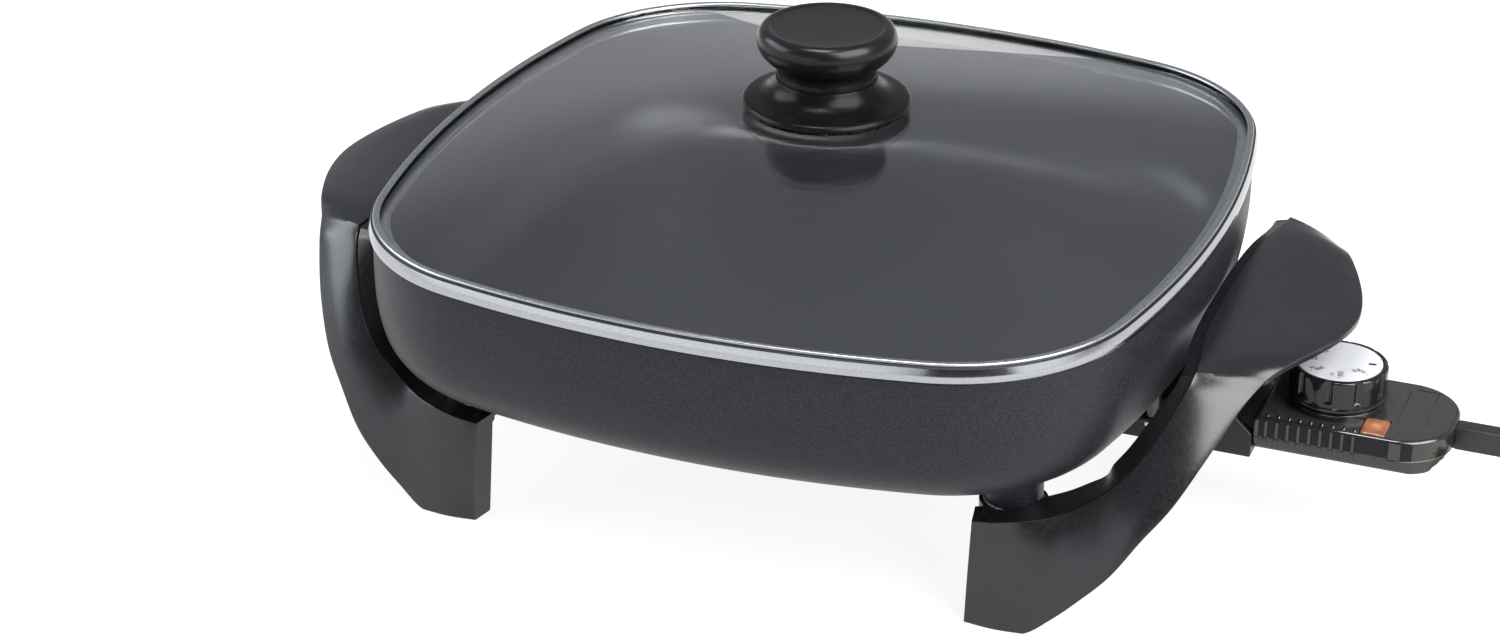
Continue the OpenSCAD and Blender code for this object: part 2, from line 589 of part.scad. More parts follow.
module shaft_clip() color("#9c9ea1") translate([dial_x, 0, 51.05]) difference() {
  cylinder(r = 5, h = 0.7);
  translate([0, 0, -1]) cylinder(r = 2.55, h = 3);
}

module plunger() color("#d9d4c6") translate([dial_x, 0, 49.4]) cylinder(r = 1.62, h = 5.2);

// ---------- cord, coil and plug ----------

module relief_box(x0, x1, w, h) box([x0, -w / 2, cord_z - h / 2], [x1, w / 2, cord_z + h / 2]);
module strain_relief() color("#242527") union() {
  box([242, -6, 46.2], [243.9, 6, 51.9]);
  relief_box(243.9, 246.1, 7.4, 9);
  relief_box(246.1, 264, 7.4, 9);
  hull() {
    relief_box(263.9, 264, 7.4, 9);
    relief_box(283.9, 284, 7.3, 7.3);
  }
}

module power_cord() color("#202123") tube(lead_route, cord_d, 1, 10);
module cord_tail() color("#202123") tube(tail_route, cord_d, 1, 10);

module cord_coil() color("#202123") translate([coil_c[0], coil_c[1], 0]) rotate_extrude() union() {
  translate([coil_r - 3.55, layer1]) square([7.1, layers]);
  translate([coil_r, layer1]) circle(r = 3.5, $fn = 32);
  translate([coil_r, layer1 + layers]) circle(r = 3.5, $fn = 32);
}

module cord_tie() color("#3a3b3d") translate([coil_c[0], coil_c[1], 0]) difference() {
  box([-3, coil_r - 4.8, 0], [3, coil_r + 4.8, 26.5]);
  box([-4, coil_r - 4, 0.7], [4, coil_r + 4, 25.8]);
}

module plug_place() translate(plug_at) rotate([0, 0, plug_turn]) children();
module plug_body() color("#242527") plug_place() intersection() {
  linear_extrude(16) polygon([[0, -5], [8, -6.5], [20, -12.5], [32, -12.5], [32, 12.5], [20, 12.5], [8, 6.5], [0, 5]]);
  translate([0, 20, 0]) rotate([90, 0, 0]) linear_extrude(40)
    polygon([[0, 4], [10, 2.6], [20, 0], [32, 0], [32, 16], [20, 16], [10, 13.4], [0, 12]]);
}
module plug_blades() color("#c9b27a") plug_place() for (s = [-1, 1]) difference() {
  box([32, s * 6.35 - 0.75, 4.8], [49, s * 6.35 + 0.75, 11.2]);
  translate([44.5, s * 6.35 + 2, 8]) rotate([90, 0, 0]) cylinder(r = 1.6, h = 4);
}

pan();
heating_element();
element_terminals();
terminal_bushings();
terminal_guard();
guard_screws();
left_handle();
right_handle();
handle_washers();
handle_screws();
lid_rim();
lid_glass();
knob_guard();
lid_knob();
knob_insert();
knob_gaskets();
knob_washer();
knob_screw();
control_upper_housing();
control_lower_housing();
housing_screws();
indicator_lens();
neon_lamp();
lamp_resistor();
probe_tube();
bimetal_strip();
push_bead();
probe_flange();
terminal_receptacles();
lead_strips();
contact_stack();
upper_contact_arm();
lower_contact_arm();
strain_relief();
power_cord();
cord_coil();
cord_tail();
cord_tie();
plug_body();
plug_blades();
dial_knob();
dial_face();
dial_shaft();
shaft_clip();
plunger();
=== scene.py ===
import bpy
import bmesh
import math
import numpy as np
from mathutils import Matrix, Vector


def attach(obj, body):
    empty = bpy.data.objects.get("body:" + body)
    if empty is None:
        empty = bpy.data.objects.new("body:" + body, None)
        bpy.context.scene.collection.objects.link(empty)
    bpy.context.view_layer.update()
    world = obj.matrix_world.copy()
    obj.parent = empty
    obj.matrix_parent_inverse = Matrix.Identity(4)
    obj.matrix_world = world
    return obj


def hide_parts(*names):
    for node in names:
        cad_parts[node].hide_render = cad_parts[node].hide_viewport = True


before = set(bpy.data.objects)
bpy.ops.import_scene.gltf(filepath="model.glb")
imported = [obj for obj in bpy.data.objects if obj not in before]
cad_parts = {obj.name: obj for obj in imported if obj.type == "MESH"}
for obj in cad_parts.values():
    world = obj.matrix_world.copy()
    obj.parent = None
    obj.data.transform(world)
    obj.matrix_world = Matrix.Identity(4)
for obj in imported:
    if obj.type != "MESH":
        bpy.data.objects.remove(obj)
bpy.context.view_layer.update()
MM = 0.001
scene = bpy.context.scene

# ------------------------------------------------------------------ camera
AZ, EL, ROLL = math.radians(21.98), math.radians(26.69), math.radians(-0.10)
back = Vector((math.sin(AZ) * math.cos(EL), -math.cos(AZ) * math.cos(EL), math.sin(EL)))
right0 = Vector((math.cos(AZ), math.sin(AZ), 0))
up0 = back.cross(right0)
right = right0 * math.cos(ROLL) + up0 * math.sin(ROLL)
up = up0 * math.cos(ROLL) - right0 * math.sin(ROLL)
cam_data = bpy.data.cameras.new("view_camera")
cam_data.lens = 78.4
cam_data.sensor_width = 36
cam_data.clip_start = 0.05
cam_data.clip_end = 30
cam = bpy.data.objects.new("view_camera", cam_data)
scene.collection.objects.link(cam)
cam.matrix_world = Matrix(((right.x, up.x, back.x, 0.3981), (right.y, up.y, back.y, -1.0637),
                           (right.z, up.z, back.z, 0.6209), (0, 0, 0, 1)))
scene.camera = cam


# ------------------------------------------------------------------ materials
def rgb(v):
    return (v[0], v[1], v[2], 1.0)


def material(name, lo, hi, rough=(0.4, 0.5), metallic=0.0, scale=900.0, detail=3.0, stretch=None,
             bump=0.15, bump_scale=1400.0, bump_dist=0.00008, coat=0.0, coat_rough=0.05, spec=0.5,
             ior=1.5, fleck=None, cloud=None, sheen=0.0):
    """A Principled shader whose colour, roughness and bump come from noise at the object's own scale."""
    m = bpy.data.materials.new(name)
    m.use_nodes = True
    nt = m.node_tree
    nt.nodes.clear()
    out = nt.nodes.new("ShaderNodeOutputMaterial")
    p = nt.nodes.new("ShaderNodeBsdfPrincipled")
    nt.links.new(p.outputs[0], out.inputs[0])
    tc = nt.nodes.new("ShaderNodeTexCoord")
    mp = nt.nodes.new("ShaderNodeMapping")
    mp.inputs["Scale"].default_value = stretch or (1, 1, 1)
    nt.links.new(tc.outputs["Object"], mp.inputs["Vector"])
    n1 = nt.nodes.new("ShaderNodeTexNoise")
    n1.inputs["Scale"].default_value = scale
    n1.inputs["Detail"].default_value = detail
    n1.inputs["Roughness"].default_value = 0.6
    nt.links.new(mp.outputs[0], n1.inputs["Vector"])
    ramp = nt.nodes.new("ShaderNodeValToRGB")
    ramp.color_ramp.elements[0].position = 0.3
    ramp.color_ramp.elements[0].color = rgb(lo)
    ramp.color_ramp.elements[1].position = 0.7
    ramp.color_ramp.elements[1].color = rgb(hi)
    nt.links.new(n1.outputs["Fac"], ramp.inputs[0])
    colour = ramp.outputs[0]
    if cloud:
        n3 = nt.nodes.new("ShaderNodeTexNoise")
        n3.inputs["Scale"].default_value = cloud[0]
        n3.inputs["Detail"].default_value = 2.0
        nt.links.new(tc.outputs["Object"], n3.inputs["Vector"])
        mr3 = nt.nodes.new("ShaderNodeMapRange")
        mr3.inputs["To Min"].default_value = 1 - cloud[1]
        mr3.inputs["To Max"].default_value = 1 + cloud[1]
        nt.links.new(n3.outputs["Fac"], mr3.inputs["Value"])
        hs = nt.nodes.new("ShaderNodeHueSaturation")
        nt.links.new(mr3.outputs[0], hs.inputs["Value"])
        nt.links.new(colour, hs.inputs["Color"])
        colour = hs.outputs[0]
    if fleck:
        vn = nt.nodes.new("ShaderNodeTexVoronoi")
        vn.inputs["Scale"].default_value = fleck[0]
        nt.links.new(mp.outputs[0], vn.inputs["Vector"])
        fr = nt.nodes.new("ShaderNodeValToRGB")
        fr.color_ramp.elements[0].position = fleck[1]
        fr.color_ramp.elements[0].color = (1, 1, 1, 1)
        fr.color_ramp.elements[1].position = fleck[1] + 0.12
        fr.color_ramp.elements[1].color = (0, 0, 0, 1)
        nt.links.new(vn.outputs["Distance"], fr.inputs[0])
        mx = nt.nodes.new("ShaderNodeMix")
        mx.data_type = "RGBA"
        nt.links.new(fr.outputs[0], mx.inputs["Factor"])
        nt.links.new(colour, mx.inputs["A"])
        mx.inputs["B"].default_value = rgb(fleck[2])
        colour = mx.outputs["Result"]
    nt.links.new(colour, p.inputs["Base Color"])
    mr = nt.nodes.new("ShaderNodeMapRange")
    mr.inputs["From Min"].default_value = 0.3
    mr.inputs["From Max"].default_value = 0.7
    mr.inputs["To Min"].default_value = rough[0]
    mr.inputs["To Max"].default_value = rough[1]
    nt.links.new(n1.outputs["Fac"], mr.inputs["Value"])
    nt.links.new(mr.outputs[0], p.inputs["Roughness"])
    if bump > 0:
        n2 = nt.nodes.new("ShaderNodeTexNoise")
        n2.inputs["Scale"].default_value = bump_scale
        n2.inputs["Detail"].default_value = 2.0
        nt.links.new(mp.outputs[0], n2.inputs["Vector"])
        bp = nt.nodes.new("ShaderNodeBump")
        bp.inputs["Strength"].default_value = bump
        bp.inputs["Distance"].default_value = bump_dist
        nt.links.new(n2.outputs["Fac"], bp.inputs["Height"])
        nt.links.new(bp.outputs[0], p.inputs["Normal"])
    p.inputs["Metallic"].default_value = metallic
    p.inputs["Specular IOR Level"].default_value = spec
    p.inputs["IOR"].default_value = ior
    p.inputs["Coat Weight"].default_value = coat
    p.inputs["Coat Roughness"].default_value = coat_rough
    p.inputs["Sheen Weight"].default_value = sheen
    return m


M = {}
M["pan_out"] = material("pan_coating_outside", (0.0050, 0.0056, 0.0072), (0.0120, 0.0132, 0.0162), (0.36, 0.50), scale=1250, bump=0.5,
                        bump_scale=1300, bump_dist=0.00011, fleck=(1900, 0.20, (0.038, 0.043, 0.056)), spec=0.25, cloud=(9, 0.04))
M["pan_in"] = material("pan_coating_inside", (0.0120, 0.0131, 0.0178), (0.0187, 0.0203, 0.0264), (0.36, 0.44), scale=1200, bump=0.35,
                       bump_scale=1300, bump_dist=0.00009, fleck=(1400, 0.14, (0.052, 0.060, 0.076)), cloud=(8, 0.04))
M["handle"] = material("handle_phenolic", (0.0055, 0.0056, 0.0067), (0.0088, 0.0090, 0.0105), (0.22, 0.28), scale=700, bump=0.1,
                       bump_scale=900, bump_dist=0.00005, spec=0.52, cloud=(14, 0.05))
M["knob"] = material("knob_phenolic", (0.0056, 0.0050, 0.0054), (0.0074, 0.0066, 0.0071), (0.23, 0.26), scale=500, bump=0.0,
                     bump_scale=900, bump_dist=0.00005, spec=0.26, cloud=(20, 0.03))
# Darker copy of the knob's phenolic for the guard disc under the cap: painted shade.
M["knob_base"] = material("knob_base_phenolic", (0.0034, 0.0028, 0.0030), (0.0048, 0.0040, 0.0042), (0.25, 0.29), scale=500, bump=0.0,
                          bump_scale=900, bump_dist=0.00005, spec=0.12, cloud=(20, 0.03))
M["guard"] = material("guard_plastic", (0.0070, 0.0070, 0.0080), (0.0098, 0.0098, 0.0112), (0.30, 0.38), scale=700, bump=0.08,
                      bump_scale=1100, bump_dist=0.00004, spec=0.30, cloud=(25, 0.05))
M["control"] = material("control_plastic", (0.0098, 0.0092, 0.0098), (0.0145, 0.0138, 0.0147), (0.12, 0.17), scale=600, bump=0.05,
                        bump_scale=1000, bump_dist=0.00004, spec=0.72, cloud=(25, 0.08))
M["control_low"] = material("control_lower_plastic", (0.0098, 0.0092, 0.0098), (0.0145, 0.0138, 0.0147), (0.27, 0.33), scale=600, bump=0.05,
                            bump_scale=1000, bump_dist=0.00004, spec=0.66, cloud=(25, 0.08))
# Lighter copy of the control plastic for the flat top faces: a painted highlight, the top made lighter for the light
# falling on it.
M["control_top_painted_highlight"] = material("control_top_painted_highlight", (0.0185, 0.0182, 0.0195), (0.0250, 0.0246, 0.0262), (0.20, 0.26), scale=600, bump=0.05,
                            bump_scale=1000, bump_dist=0.00004, spec=0.66, cloud=(25, 0.05))
# Darker, rougher plastic for the recessed side panels: its darker, browner colour is painted shade in the recesses; the
# rougher, less glossy finish lowers their reflections.
M["recess"] = material("control_recess", (0.0050, 0.0038, 0.0036), (0.0080, 0.0062, 0.0060), (0.36, 0.46), scale=900, bump=0.2,
                       bump_scale=1200, bump_dist=0.00005, spec=0.20, cloud=(25, 0.08))
M["dial"] = material("dial_plastic", (0.0050, 0.0050, 0.0055), (0.0078, 0.0078, 0.0084), (0.08, 0.13), scale=600, bump=0.03,
                     bump_scale=1000, bump_dist=0.00003, spec=0.46, cloud=(25, 0.08))
M["steel"] = material("polished_steel", (0.34, 0.345, 0.355), (0.425, 0.43, 0.44), (0.12, 0.18), metallic=1.0, scale=900,
                      stretch=(1, 1, 4), bump=0.05, bump_scale=1600, bump_dist=0.00002)
M["satin"] = material("satin_steel", (0.38, 0.39, 0.40), (0.49, 0.50, 0.51), (0.26, 0.36), metallic=1.0, scale=1100,
                      bump=0.08, bump_scale=1500, bump_dist=0.00003)
# Nearly black steel for the groove between the rim's bead and band: a painted dark line of shade and dark reflection.
M["seam"] = material("steel_seam", (0.010, 0.010, 0.011), (0.020, 0.020, 0.022), (0.35, 0.5), metallic=0.6, scale=900, bump=0.1)
M["screw"] = material("plated_steel", (0.48, 0.49, 0.51), (0.62, 0.63, 0.65), (0.22, 0.34), metallic=1.0, scale=900, bump=0.1)
M["aluminium"] = material("aluminium", (0.55, 0.56, 0.57), (0.66, 0.67, 0.68), (0.3, 0.42), metallic=1.0, scale=1200, bump=0.15)
M["brass"] = material("brass", (0.55, 0.38, 0.16), (0.68, 0.49, 0.22), (0.2, 0.32), metallic=1.0, scale=800, bump=0.1)
M["copper"] = material("copper", (0.58, 0.25, 0.12), (0.72, 0.34, 0.18), (0.22, 0.34), metallic=1.0, scale=800, bump=0.1)
M["ceramic"] = material("ceramic", (0.66, 0.62, 0.54), (0.76, 0.72, 0.64), (0.5, 0.62), scale=1500, bump=0.2)
M["silicone"] = material("silicone", (0.10, 0.105, 0.11), (0.14, 0.145, 0.15), (0.55, 0.65), scale=900, bump=0.2)
M["rubber"] = material("cord_rubber", (0.012, 0.012, 0.0125), (0.019, 0.019, 0.020), (0.42, 0.52), scale=900, bump=0.25,
                       bump_scale=1200, bump_dist=0.00008)
M["relief"] = material("relief_rubber", (0.0085, 0.0092, 0.0106), (0.0125, 0.0134, 0.0155), (0.4, 0.5), scale=900, bump=0.25,
                       bump_scale=1200, bump_dist=0.00008)
M["dial_face"] = material("dial_plate", (0.50, 0.51, 0.54), (0.55, 0.56, 0.59), (0.26, 0.36), metallic=0.0, scale=900,
                          stretch=(1, 12, 1), bump=0.05)
M["ink"] = material("dial_ink", (0.008, 0.008, 0.009), (0.014, 0.014, 0.015), (0.4, 0.5), scale=2500, bump=0.05)
M["resistor"] = material("resistor_body", (0.42, 0.27, 0.13), (0.52, 0.35, 0.18), (0.4, 0.5), scale=1600, bump=0.1)


def lens_material():
    """Tinted window over a lit lamp, with the lamp's glow painted on as emission: bright in the middle, brown towards
    its ends, a little uneven.
    """
    m = material("lens_amber", (0.12, 0.040, 0.020), (0.22, 0.080, 0.042), (0.10, 0.18), scale=420, bump=0.05, bump_scale=300, bump_dist=0.0001)
    nt = m.node_tree
    p = next(n for n in nt.nodes if n.type == "BSDF_PRINCIPLED")
    tc = next(n for n in nt.nodes if n.type == "TEX_COORD")
    mp = nt.nodes.new("ShaderNodeMapping")
    sx, sy, sz = 175, 150, 60
    mp.inputs["Location"].default_value = (-0.2192 * sx, 0.0158 * sy, -0.0545 * sz)
    mp.inputs["Scale"].default_value = (sx, sy, sz)
    nt.links.new(tc.outputs["Object"], mp.inputs["Vector"])
    gr = nt.nodes.new("ShaderNodeTexGradient")
    gr.gradient_type = "SPHERICAL"
    nt.links.new(mp.outputs[0], gr.inputs["Vector"])
    wob = nt.nodes.new("ShaderNodeTexNoise")
    wob.inputs["Scale"].default_value = 520.0
    wob.inputs["Detail"].default_value = 2.0
    nt.links.new(tc.outputs["Object"], wob.inputs["Vector"])
    ma = nt.nodes.new("ShaderNodeMath")
    ma.operation = "MULTIPLY_ADD"
    nt.links.new(wob.outputs["Fac"], ma.inputs[0])
    ma.inputs[1].default_value = 0.24
    nt.links.new(gr.outputs["Fac"], ma.inputs[2])
    ramp = nt.nodes.new("ShaderNodeValToRGB")
    e = ramp.color_ramp.elements
    e[0].position, e[0].color = 0.1, (0.030, 0.008, 0.004, 1)
    e[1].position, e[1].color = 1.0, (1.0, 0.66, 0.42, 1)
    for at, col in ((0.36, (0.20, 0.062, 0.030, 1)), (0.66, (0.50, 0.19, 0.095, 1)), (0.82, (0.72, 0.33, 0.18, 1))):
        ramp.color_ramp.elements.new(at).color = col
    nt.links.new(ma.outputs[0], ramp.inputs[0])
    # The lamp's glow is painted on the window as emission, brightest in the middle.
    nt.links.new(ramp.outputs[0], p.inputs["Emission Color"])
    p.inputs["Emission Strength"].default_value = 0.35
    return m


M["lens"] = lens_material()


def glass_material():
    m = bpy.data.materials.new("lid_glass_clear")
    m.use_nodes = True
    nt = m.node_tree
    p = next(n for n in nt.nodes if n.type == "BSDF_PRINCIPLED")
    tc = nt.nodes.new("ShaderNodeTexCoord")
    n = nt.nodes.new("ShaderNodeTexNoise")
    n.inputs["Scale"].default_value = 5.0
    nt.links.new(tc.outputs["Object"], n.inputs["Vector"])
    ramp = nt.nodes.new("ShaderNodeValToRGB")
    ramp.color_ramp.elements[0].color = (0.955, 0.965, 0.965, 1)
    ramp.color_ramp.elements[1].color = (0.975, 0.985, 0.98, 1)
    nt.links.new(n.outputs["Fac"], ramp.inputs[0])
    nt.links.new(ramp.outputs[0], p.inputs["Base Color"])
    p.inputs["Roughness"].default_value = 0.0
    p.inputs["IOR"].default_value = 1.48
    p.inputs["Transmission Weight"].default_value = 1.0
    return m


M["glass"] = glass_material()


# ------------------------------------------------------------------ mesh helpers
def new_object(name, verts, faces, mat, body, replaces=(), sharp=32.0, face_mats=None, extra=()):
    me = bpy.data.meshes.new(name)
    me.from_pydata([tuple(v) for v in (np.asarray(verts, float) * MM)], [], [tuple(f) for f in faces])
    me.update()
    for mt in [mat, *extra]:
        me.materials.append(mt)
    if face_mats is not None:
        me.polygons.foreach_set("material_index", np.asarray(face_mats, np.int32))
    ob = bpy.data.objects.new(name, me)
    scene.collection.objects.link(ob)
    bm = bmesh.new()
    bm.from_mesh(me)
    bmesh.ops.remove_doubles(bm, verts=bm.verts, dist=1e-6)
    bmesh.ops.recalc_face_normals(bm, faces=bm.faces)
    bm.to_mesh(me)
    bm.free()
    smooth(ob, sharp)
    if body:
        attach(ob, body)
        if replaces:
            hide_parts(*replaces)
    return ob


def smooth(ob, sharp=32.0):
    me = ob.data
    me.polygons.foreach_set("use_smooth", np.ones(len(me.polygons), bool))
    me.set_sharp_from_angle(angle=math.radians(sharp))
    me.update()


def finish_piece(ob, body, replaces=()):
    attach(ob, body)
    if replaces:
        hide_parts(*replaces)
    return ob


def grid_faces(rings, m, wrap_r, wrap_m=True):
    f = []
    for i in range(rings if wrap_r else rings - 1):
        i2 = (i + 1) % rings
        for j in range(m if wrap_m else m - 1):
            j2 = (j + 1) % m
            f.append((i * m + j, i * m + j2, i2 * m + j2, i2 * m + j))
    return f


def round_path(pts, radii, steps=5, closed=True):
    """Rounds the corners of a polyline. Every corner gives steps+1 points, so that rings of one kind match."""
    pts = [np.asarray(p, float) for p in pts]
    n = len(pts)
    if not hasattr(radii, "__len__"):
        radii = [radii] * n
    out = []
    for i, p in enumerate(pts):
        if not closed and i in (0, n - 1):
            out.append(p)
            continue
        a, b = pts[i - 1], pts[(i + 1) % n]
        la, lb = np.linalg.norm(a - p), np.linalg.norm(b - p)
        r = radii[i]
        if r <= 0:
            out.append(p)
            continue
        d = min(r, 0.45 * la, 0.45 * lb)
        pa, pb = p + (a - p) / la * d, p + (b - p) / lb * d
        for k in range(steps + 1):
            t = k / steps
            out.append(pa * (1 - t) ** 2 + p * 2 * t * (1 - t) + pb * t * t)
    return out


def lathe(name, profile, mat, body, replaces=(), n=160, centre=(0, 0), radii=0.4, steps=4, sharp=32.0, closed=True):
    """Turns an (r, z) outline in mm round a vertical axis. A closed outline off the axis gives a ring."""
    prof = round_path(profile, radii, steps, closed)
    verts, m = [], n
    for r, z in prof:
        for k in range(n):
            a = 2 * math.pi * k / n
            verts.append((centre[0] + max(r, 1e-4) * math.cos(a), centre[1] + max(r, 1e-4) * math.sin(a), z))
    return new_object(name, verts, grid_faces(len(prof), n, closed), mat, body, replaces, sharp)


def join(objs, name):
    """Joins several meshes into one new object, and removes the old ones."""
    me = bpy.data.meshes.new(name)
    bm = bmesh.new()
    mats = []
    for o in objs:
        off = {}
        for i, mt in enumerate(o.data.materials):
            if mt not in mats:
                mats.append(mt)
            off[i] = mats.index(mt)
        n0 = len(bm.faces)
        part = o.data.copy()
        part.transform(o.matrix_world)
        idx = np.zeros(len(part.polygons), np.int32)
        part.polygons.foreach_get("material_index", idx)
        part.polygons.foreach_set("material_index", np.array([off.get(int(i), 0) for i in idx], np.int32))
        bm.from_mesh(part)
        bpy.data.meshes.remove(part)
    bm.to_mesh(me)
    bm.free()
    for mt in mats:
        me.materials.append(mt)
    for o in objs:
        bpy.data.objects.remove(o)
    ob = bpy.data.objects.new(name, me)
    scene.collection.objects.link(ob)
    return ob


def box_mesh(name, lo, hi, mat):
    (x0, y0, z0), (x1, y1, z1) = lo, hi
    v = [(x, y, z) for z in (z0, z1) for x, y in ((x0, y0), (x1, y0), (x1, y1), (x0, y1))]
    f = [(0, 3, 2, 1), (4, 5, 6, 7), (0, 1, 5, 4), (1, 2, 6, 5), (2, 3, 7, 6), (3, 0, 4, 7)]
    return new_object(name, v, f, mat, None)


def cyl_mesh(name, centre, r, z0, z1, mat, n=48):
    v = [(centre[0] + r * math.cos(2 * math.pi * k / n), centre[1] + r * math.sin(2 * math.pi * k / n), z)
         for z in (z0, z1) for k in range(n)]
    f = grid_faces(2, n, False) + [tuple(range(n - 1, -1, -1)), tuple(range(n, 2 * n))]
    return new_object(name, v, f, mat, None)


def prism(name, outline, z0, z1, mat):
    n = len(outline)
    v = [(x, y, z) for z in (z0, z1) for x, y in outline]
    f = grid_faces(2, n, False) + [tuple(range(n - 1, -1, -1)), tuple(range(n, 2 * n))]
    return new_object(name, v, f, mat, None)


def boolean(ob, cutters, op="DIFFERENCE"):
    """Cuts or adds plain meshes, and leaves the result as ob's own mesh."""
    for c in cutters:
        md = ob.modifiers.new("b", "BOOLEAN")
        md.operation = op
        md.solver = "EXACT"
        md.object = c
    bpy.context.view_layer.update()
    dg = bpy.context.evaluated_depsgraph_get()
    me = bpy.data.meshes.new_from_object(ob.evaluated_get(dg), preserve_all_data_layers=True, depsgraph=dg)
    ob.modifiers.clear()
    ob.data = me
    for c in cutters:
        bpy.data.objects.remove(c)
    return ob


def bevel(ob, width, segments=2, angle=35, sharp=40.0):
    """Rounds the sharp edges of a cut mesh, and leaves the result as its own mesh."""
    bm = bmesh.new()
    bm.from_mesh(ob.data)
    bmesh.ops.remove_doubles(bm, verts=bm.verts, dist=2e-6)
    bmesh.ops.dissolve_limit(bm, angle_limit=math.radians(0.5), verts=bm.verts, edges=bm.edges)
    bm.to_mesh(ob.data)
    bm.free()
    md = ob.modifiers.new("v", "BEVEL")
    md.width = width * MM
    md.segments = segments
    md.limit_method = "ANGLE"
    md.angle_limit = math.radians(angle)
    md.use_clamp_overlap = True
    md.harden_normals = False
    bpy.context.view_layer.update()
    dg = bpy.context.evaluated_depsgraph_get()
    me = bpy.data.meshes.new_from_object(ob.evaluated_get(dg), preserve_all_data_layers=True, depsgraph=dg)
    ob.modifiers.clear()
    ob.data = me
    smooth(ob, sharp)
    return ob


def catmull(pts, x, creases=()):
    """Smooth curve through the points, which turns sharply at those numbered in creases."""
    n = len(pts)
    i = min(int(math.floor(x)), n - 2)
    t = x - i
    p0, p1, p2, p3 = (pts[max(0, min(n - 1, i + k))] for k in (-1, 0, 1, 2))
    if i in creases:
        p0 = 2 * p1 - p2
    if i + 1 in creases:
        p3 = 2 * p2 - p1
    return 0.5 * ((2 * p1) + (p2 - p0) * t + (2 * p0 - 5 * p1 + 4 * p2 - p3) * t * t + (3 * p1 - p0 - 3 * p2 + p3) * t ** 3)


def unit(v):
    return v / np.linalg.norm(v)


# ------------------------------------------------------------------ cord, coil and plug
CORD_D = 7.0
lead = [(284, 0, 48.5), (296, .5, 47.8), (308, 2.5, 44.5), (320, 7, 38.5), (331, 14, 30.5), (341, 24, 21.5),
        (349, 36, 13.5), (355, 49, 7.8), (357.5, 62, 4.9), (358, 75, 4.3)]
coil = [(320 + 38 * math.cos(math.radians(22.5 * k)), 75 + 38 * math.sin(math.radians(22.5 * k)), 4.3 + 17.75 * k / 40)
        for k in range(1, 41)]
tail = [(282, 66, 22), (282.6, 57, 20.4), (284, 48, 17), (286, 39.5, 12.8), (288.2, 32, 9.4), (290, 25, 8)]
route = [np.array(p, float) for p in lead + coil + tail]


def cord_curve():
    cu = bpy.data.curves.new("power_cord_flex", "CURVE")
    cu.dimensions = "3D"
    cu.bevel_depth = CORD_D / 2 * MM
    cu.bevel_resolution = 6
    cu.resolution_u = 8
    cu.use_fill_caps = True
    sp = cu.splines.new("BEZIER")
    sp.bezier_points.add(len(route) - 1)
    n = len(route)
    for i, p in enumerate(route):
        a, b = route[max(0, i - 1)], route[min(n - 1, i + 1)]
        t = (b - a) / (2 if 0 < i < n - 1 else 1) / 3
        if i == 0:
            t = unit(np.array([1.0, 0.02, -0.03])) * np.linalg.norm(b - p) / 3
        bp = sp.bezier_points[i]
        bp.handle_left_type = bp.handle_right_type = "FREE"
        bp.co = Vector(p * MM)
        bp.handle_left = Vector((p - t) * MM)
        bp.handle_right = Vector((p + t) * MM)
    ob = bpy.data.objects.new("power_cord_flex", cu)
    scene.collection.objects.link(ob)
    cu.materials.append(M["rubber"])
    return ob


def bezier_length():
    """Length in metres of the curve above."""
    total, n = 0.0, len(route)
    tan = []
    for i, p in enumerate(route):
        a, b = route[max(0, i - 1)], route[min(n - 1, i + 1)]
        t = (b - a) / (2 if 0 < i < n - 1 else 1) / 3
        if i == 0:
            t = unit(np.array([1.0, 0.02, -0.03])) * np.linalg.norm(b - p) / 3
        tan.append(t)
    for i in range(n - 1):
        p0, p1, p2, p3 = route[i], route[i] + tan[i], route[i + 1] - tan[i + 1], route[i + 1]
        last = p0
        for k in range(1, 17):
            t = k / 16
            q = p0 * (1 - t) ** 3 + 3 * p1 * t * (1 - t) ** 2 + 3 * p2 * t * t * (1 - t) + p3 * t ** 3
            total += np.linalg.norm(q - last)
            last = q
    return total * MM


def rounded_rect(w, h, r, n=5):
    """Outline of a rounded rectangle, centred, as (a, b) pairs."""
    pts = []
    for cx, cy, a0 in ((w / 2 - r, h / 2 - r, 0), (-w / 2 + r, h / 2 - r, 90), (-w / 2 + r, -h / 2 + r, 180), (w / 2 - r, -h / 2 + r, 270)):
        for k in range(n + 1):
            a = math.radians(a0 + 90 * k / n)
            pts.append((cx + r * math.cos(a), cy + r * math.sin(a)))
    return pts


def loft(name, sections, mat, body, replaces=(), sharp=35.0):
    """Sections are (origin, axis_a, axis_b, outline); both ends are closed."""
    verts, m = [], len(sections[0][3])
    for o, ax, ay, line in sections:
        for a, b in line:
            verts.append(tuple(np.array(o, float) + np.array(ax, float) * a + np.array(ay, float) * b))
    f = grid_faces(len(sections), m, False)
    f += [tuple(range(m)), tuple(range((len(sections) - 1) * m, len(sections) * m))]
    return new_object(name, verts, f, mat, body, replaces, sharp)


def plug():
    """Moulded two-blade plug with a ribbed grip."""
    a = math.radians(-80)
    ax, side = np.array([math.cos(a), math.sin(a), 0]), np.array([-math.sin(a), math.cos(a), 0])
    o = np.array([290, 25, 0.0])
    stations = [(0.0, 9.2, 7.6), (0.6, 10.0, 8.2), (3, 11, 9), (5, 11.6, 9.6), (5.6, 12.6, 10.4), (6.6, 12.6, 10.4), (7.2, 12.0, 10.0),
                (8.4, 12.6, 10.4), (9, 13.8, 11.2), (10, 13.8, 11.2), (10.6, 13.4, 11), (11.8, 14.6, 11.8), (12.4, 16, 12.6),
                (13.4, 16, 12.6), (14, 15.8, 12.6), (16, 19, 13.8), (19, 23.4, 15.6), (21, 24.6, 15.8), (24, 25, 16), (30.8, 25, 16),
                (31.6, 24.4, 15.4), (32, 23.4, 14.4)]
    secs = []
    for x, w, h in stations:
        secs.append((o + ax * x + np.array([0, 0, 8.0]), side, np.array([0, 0, 1.0]), rounded_rect(w, h, min(w, h) * 0.33, 6)))
    return loft("plug_body_moulded", secs, M["rubber"], "control", ("plug_body",), 50)


